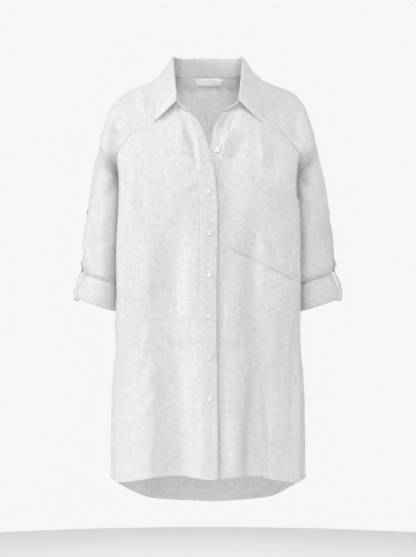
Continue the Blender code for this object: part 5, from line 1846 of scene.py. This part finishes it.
def add_world():
    """An even pale backdrop for the camera, and a dimmer one, brighter from above, for the light."""
    world = bpy.data.worlds.new("studio")
    bpy.context.scene.world = world
    world.use_nodes = True
    nodes, links = world.node_tree.nodes, world.node_tree.links
    nodes.clear()
    out = nodes.new("ShaderNodeOutputWorld")
    seen, lit = nodes.new("ShaderNodeBackground"), nodes.new("ShaderNodeBackground")
    seen.inputs["Color"].default_value = (BACKDROP_TONE, BACKDROP_TONE, BACKDROP_TONE, 1)
    where = nodes.new("ShaderNodeTexCoord")
    parts = nodes.new("ShaderNodeSeparateXYZ")
    links.new(where.outputs["Generated"], parts.inputs[0])
    tone = nodes.new("ShaderNodeMapRange")
    tone.inputs["From Min"].default_value = -1
    tone.inputs["To Min"].default_value = AMBIENT_TONE * FROM_BELOW
    tone.inputs["To Max"].default_value = AMBIENT_TONE * FROM_ABOVE
    links.new(parts.outputs["Z"], tone.inputs["Value"])
    links.new(tone.outputs["Result"], lit.inputs["Strength"])
    mix = nodes.new("ShaderNodeMixShader")
    path = nodes.new("ShaderNodeLightPath")
    links.new(path.outputs["Is Camera Ray"], mix.inputs["Fac"])
    links.new(lit.outputs[0], mix.inputs[1])
    links.new(seen.outputs[0], mix.inputs[2])
    links.new(mix.outputs[0], out.inputs["Surface"])


def add_floor():
    """A plain pale floor, far enough below that only a high view sees it."""
    turns = np.arange(FLOOR_TURNS) * 2 * math.pi / FLOOR_TURNS
    x, y = FLOOR_RADIUS * np.cos(turns), FLOOR_BACK + FLOOR_RADIUS * np.sin(turns)
    points = [(a, b, FLOOR_Z) for a, b in zip(x.tolist(), y.tolist())]
    mesh = bpy.data.meshes.new("floor")
    mesh.from_pydata(points, [], [tuple(range(FLOOR_TURNS))])
    n = Nodes("floor")
    grain = n.noise(n.add("TexCoord").outputs["Object"], 3.0, 2.0)
    n.paint(grain, *FLOOR)
    n.shader.inputs["Roughness"].default_value = 0.9
    mesh.materials.append(n.material)
    made = bpy.data.objects.new("floor", mesh)
    bpy.context.collection.objects.link(made)


def set_view():
    scene = bpy.context.scene
    scene.view_settings.view_transform = "Standard"
    scene.view_settings.look = "None"
    scene.view_settings.exposure = 0
    scene.view_settings.gamma = 1


def main():
    set_view()
    add_camera()
    add_world()
    for light in LIGHTS:
        add_light(*light)
    add_floor()
    linen, thread = linen_material(), thread_material()
    pearl, satin = pearl_material(), satin_material()

    back = back_panel()
    fronts = {side: front_panel(side) for side in SIDES}
    sleeves = {side: sleeve_panel(side) for side in SIDES}
    share_seam_normals(back, fronts, sleeves)
    gaps = {"right": HALF_GAP, "top": HALF_GAP}
    add_panel("back", back, linen, left=HALF_GAP, **gaps)
    for side in SIDES:
        add_panel(side_name("front", side), fronts[side], linen, side, flip=True, **gaps)
        name = side_name("sleeve", side)
        add_panel(name, sleeves[side], linen, side, CAP_ROWS, True, left=HALF_GAP, **gaps)
    bands = {side: add_band(side, fronts[side], linen) for side in SIDES}
    stand, fall, pocket = add_stand(linen), add_fall(linen), add_pocket(linen)
    cuffs = {side: add_cuff(side, sleeves[side], linen) for side in SIDES}
    straps = {side: add_strap(side, sleeves[side], linen) for side in SIDES}

    add_stitching(back, fronts, sleeves, bands, stand, fall, pocket, cuffs, straps, thread)
    label = add_bare_label(back, satin)
    label_rows = Stitches()
    for edge in ("left", "right"):
        label_rows.row(line_at(label, edge, LABEL_STITCH_AT), pitch=LABEL_PITCH)
    label_rows.make("label_stitches", thread, "satin")
    add_buttons(fronts, bands, sleeves, straps, pearl, thread)


main()
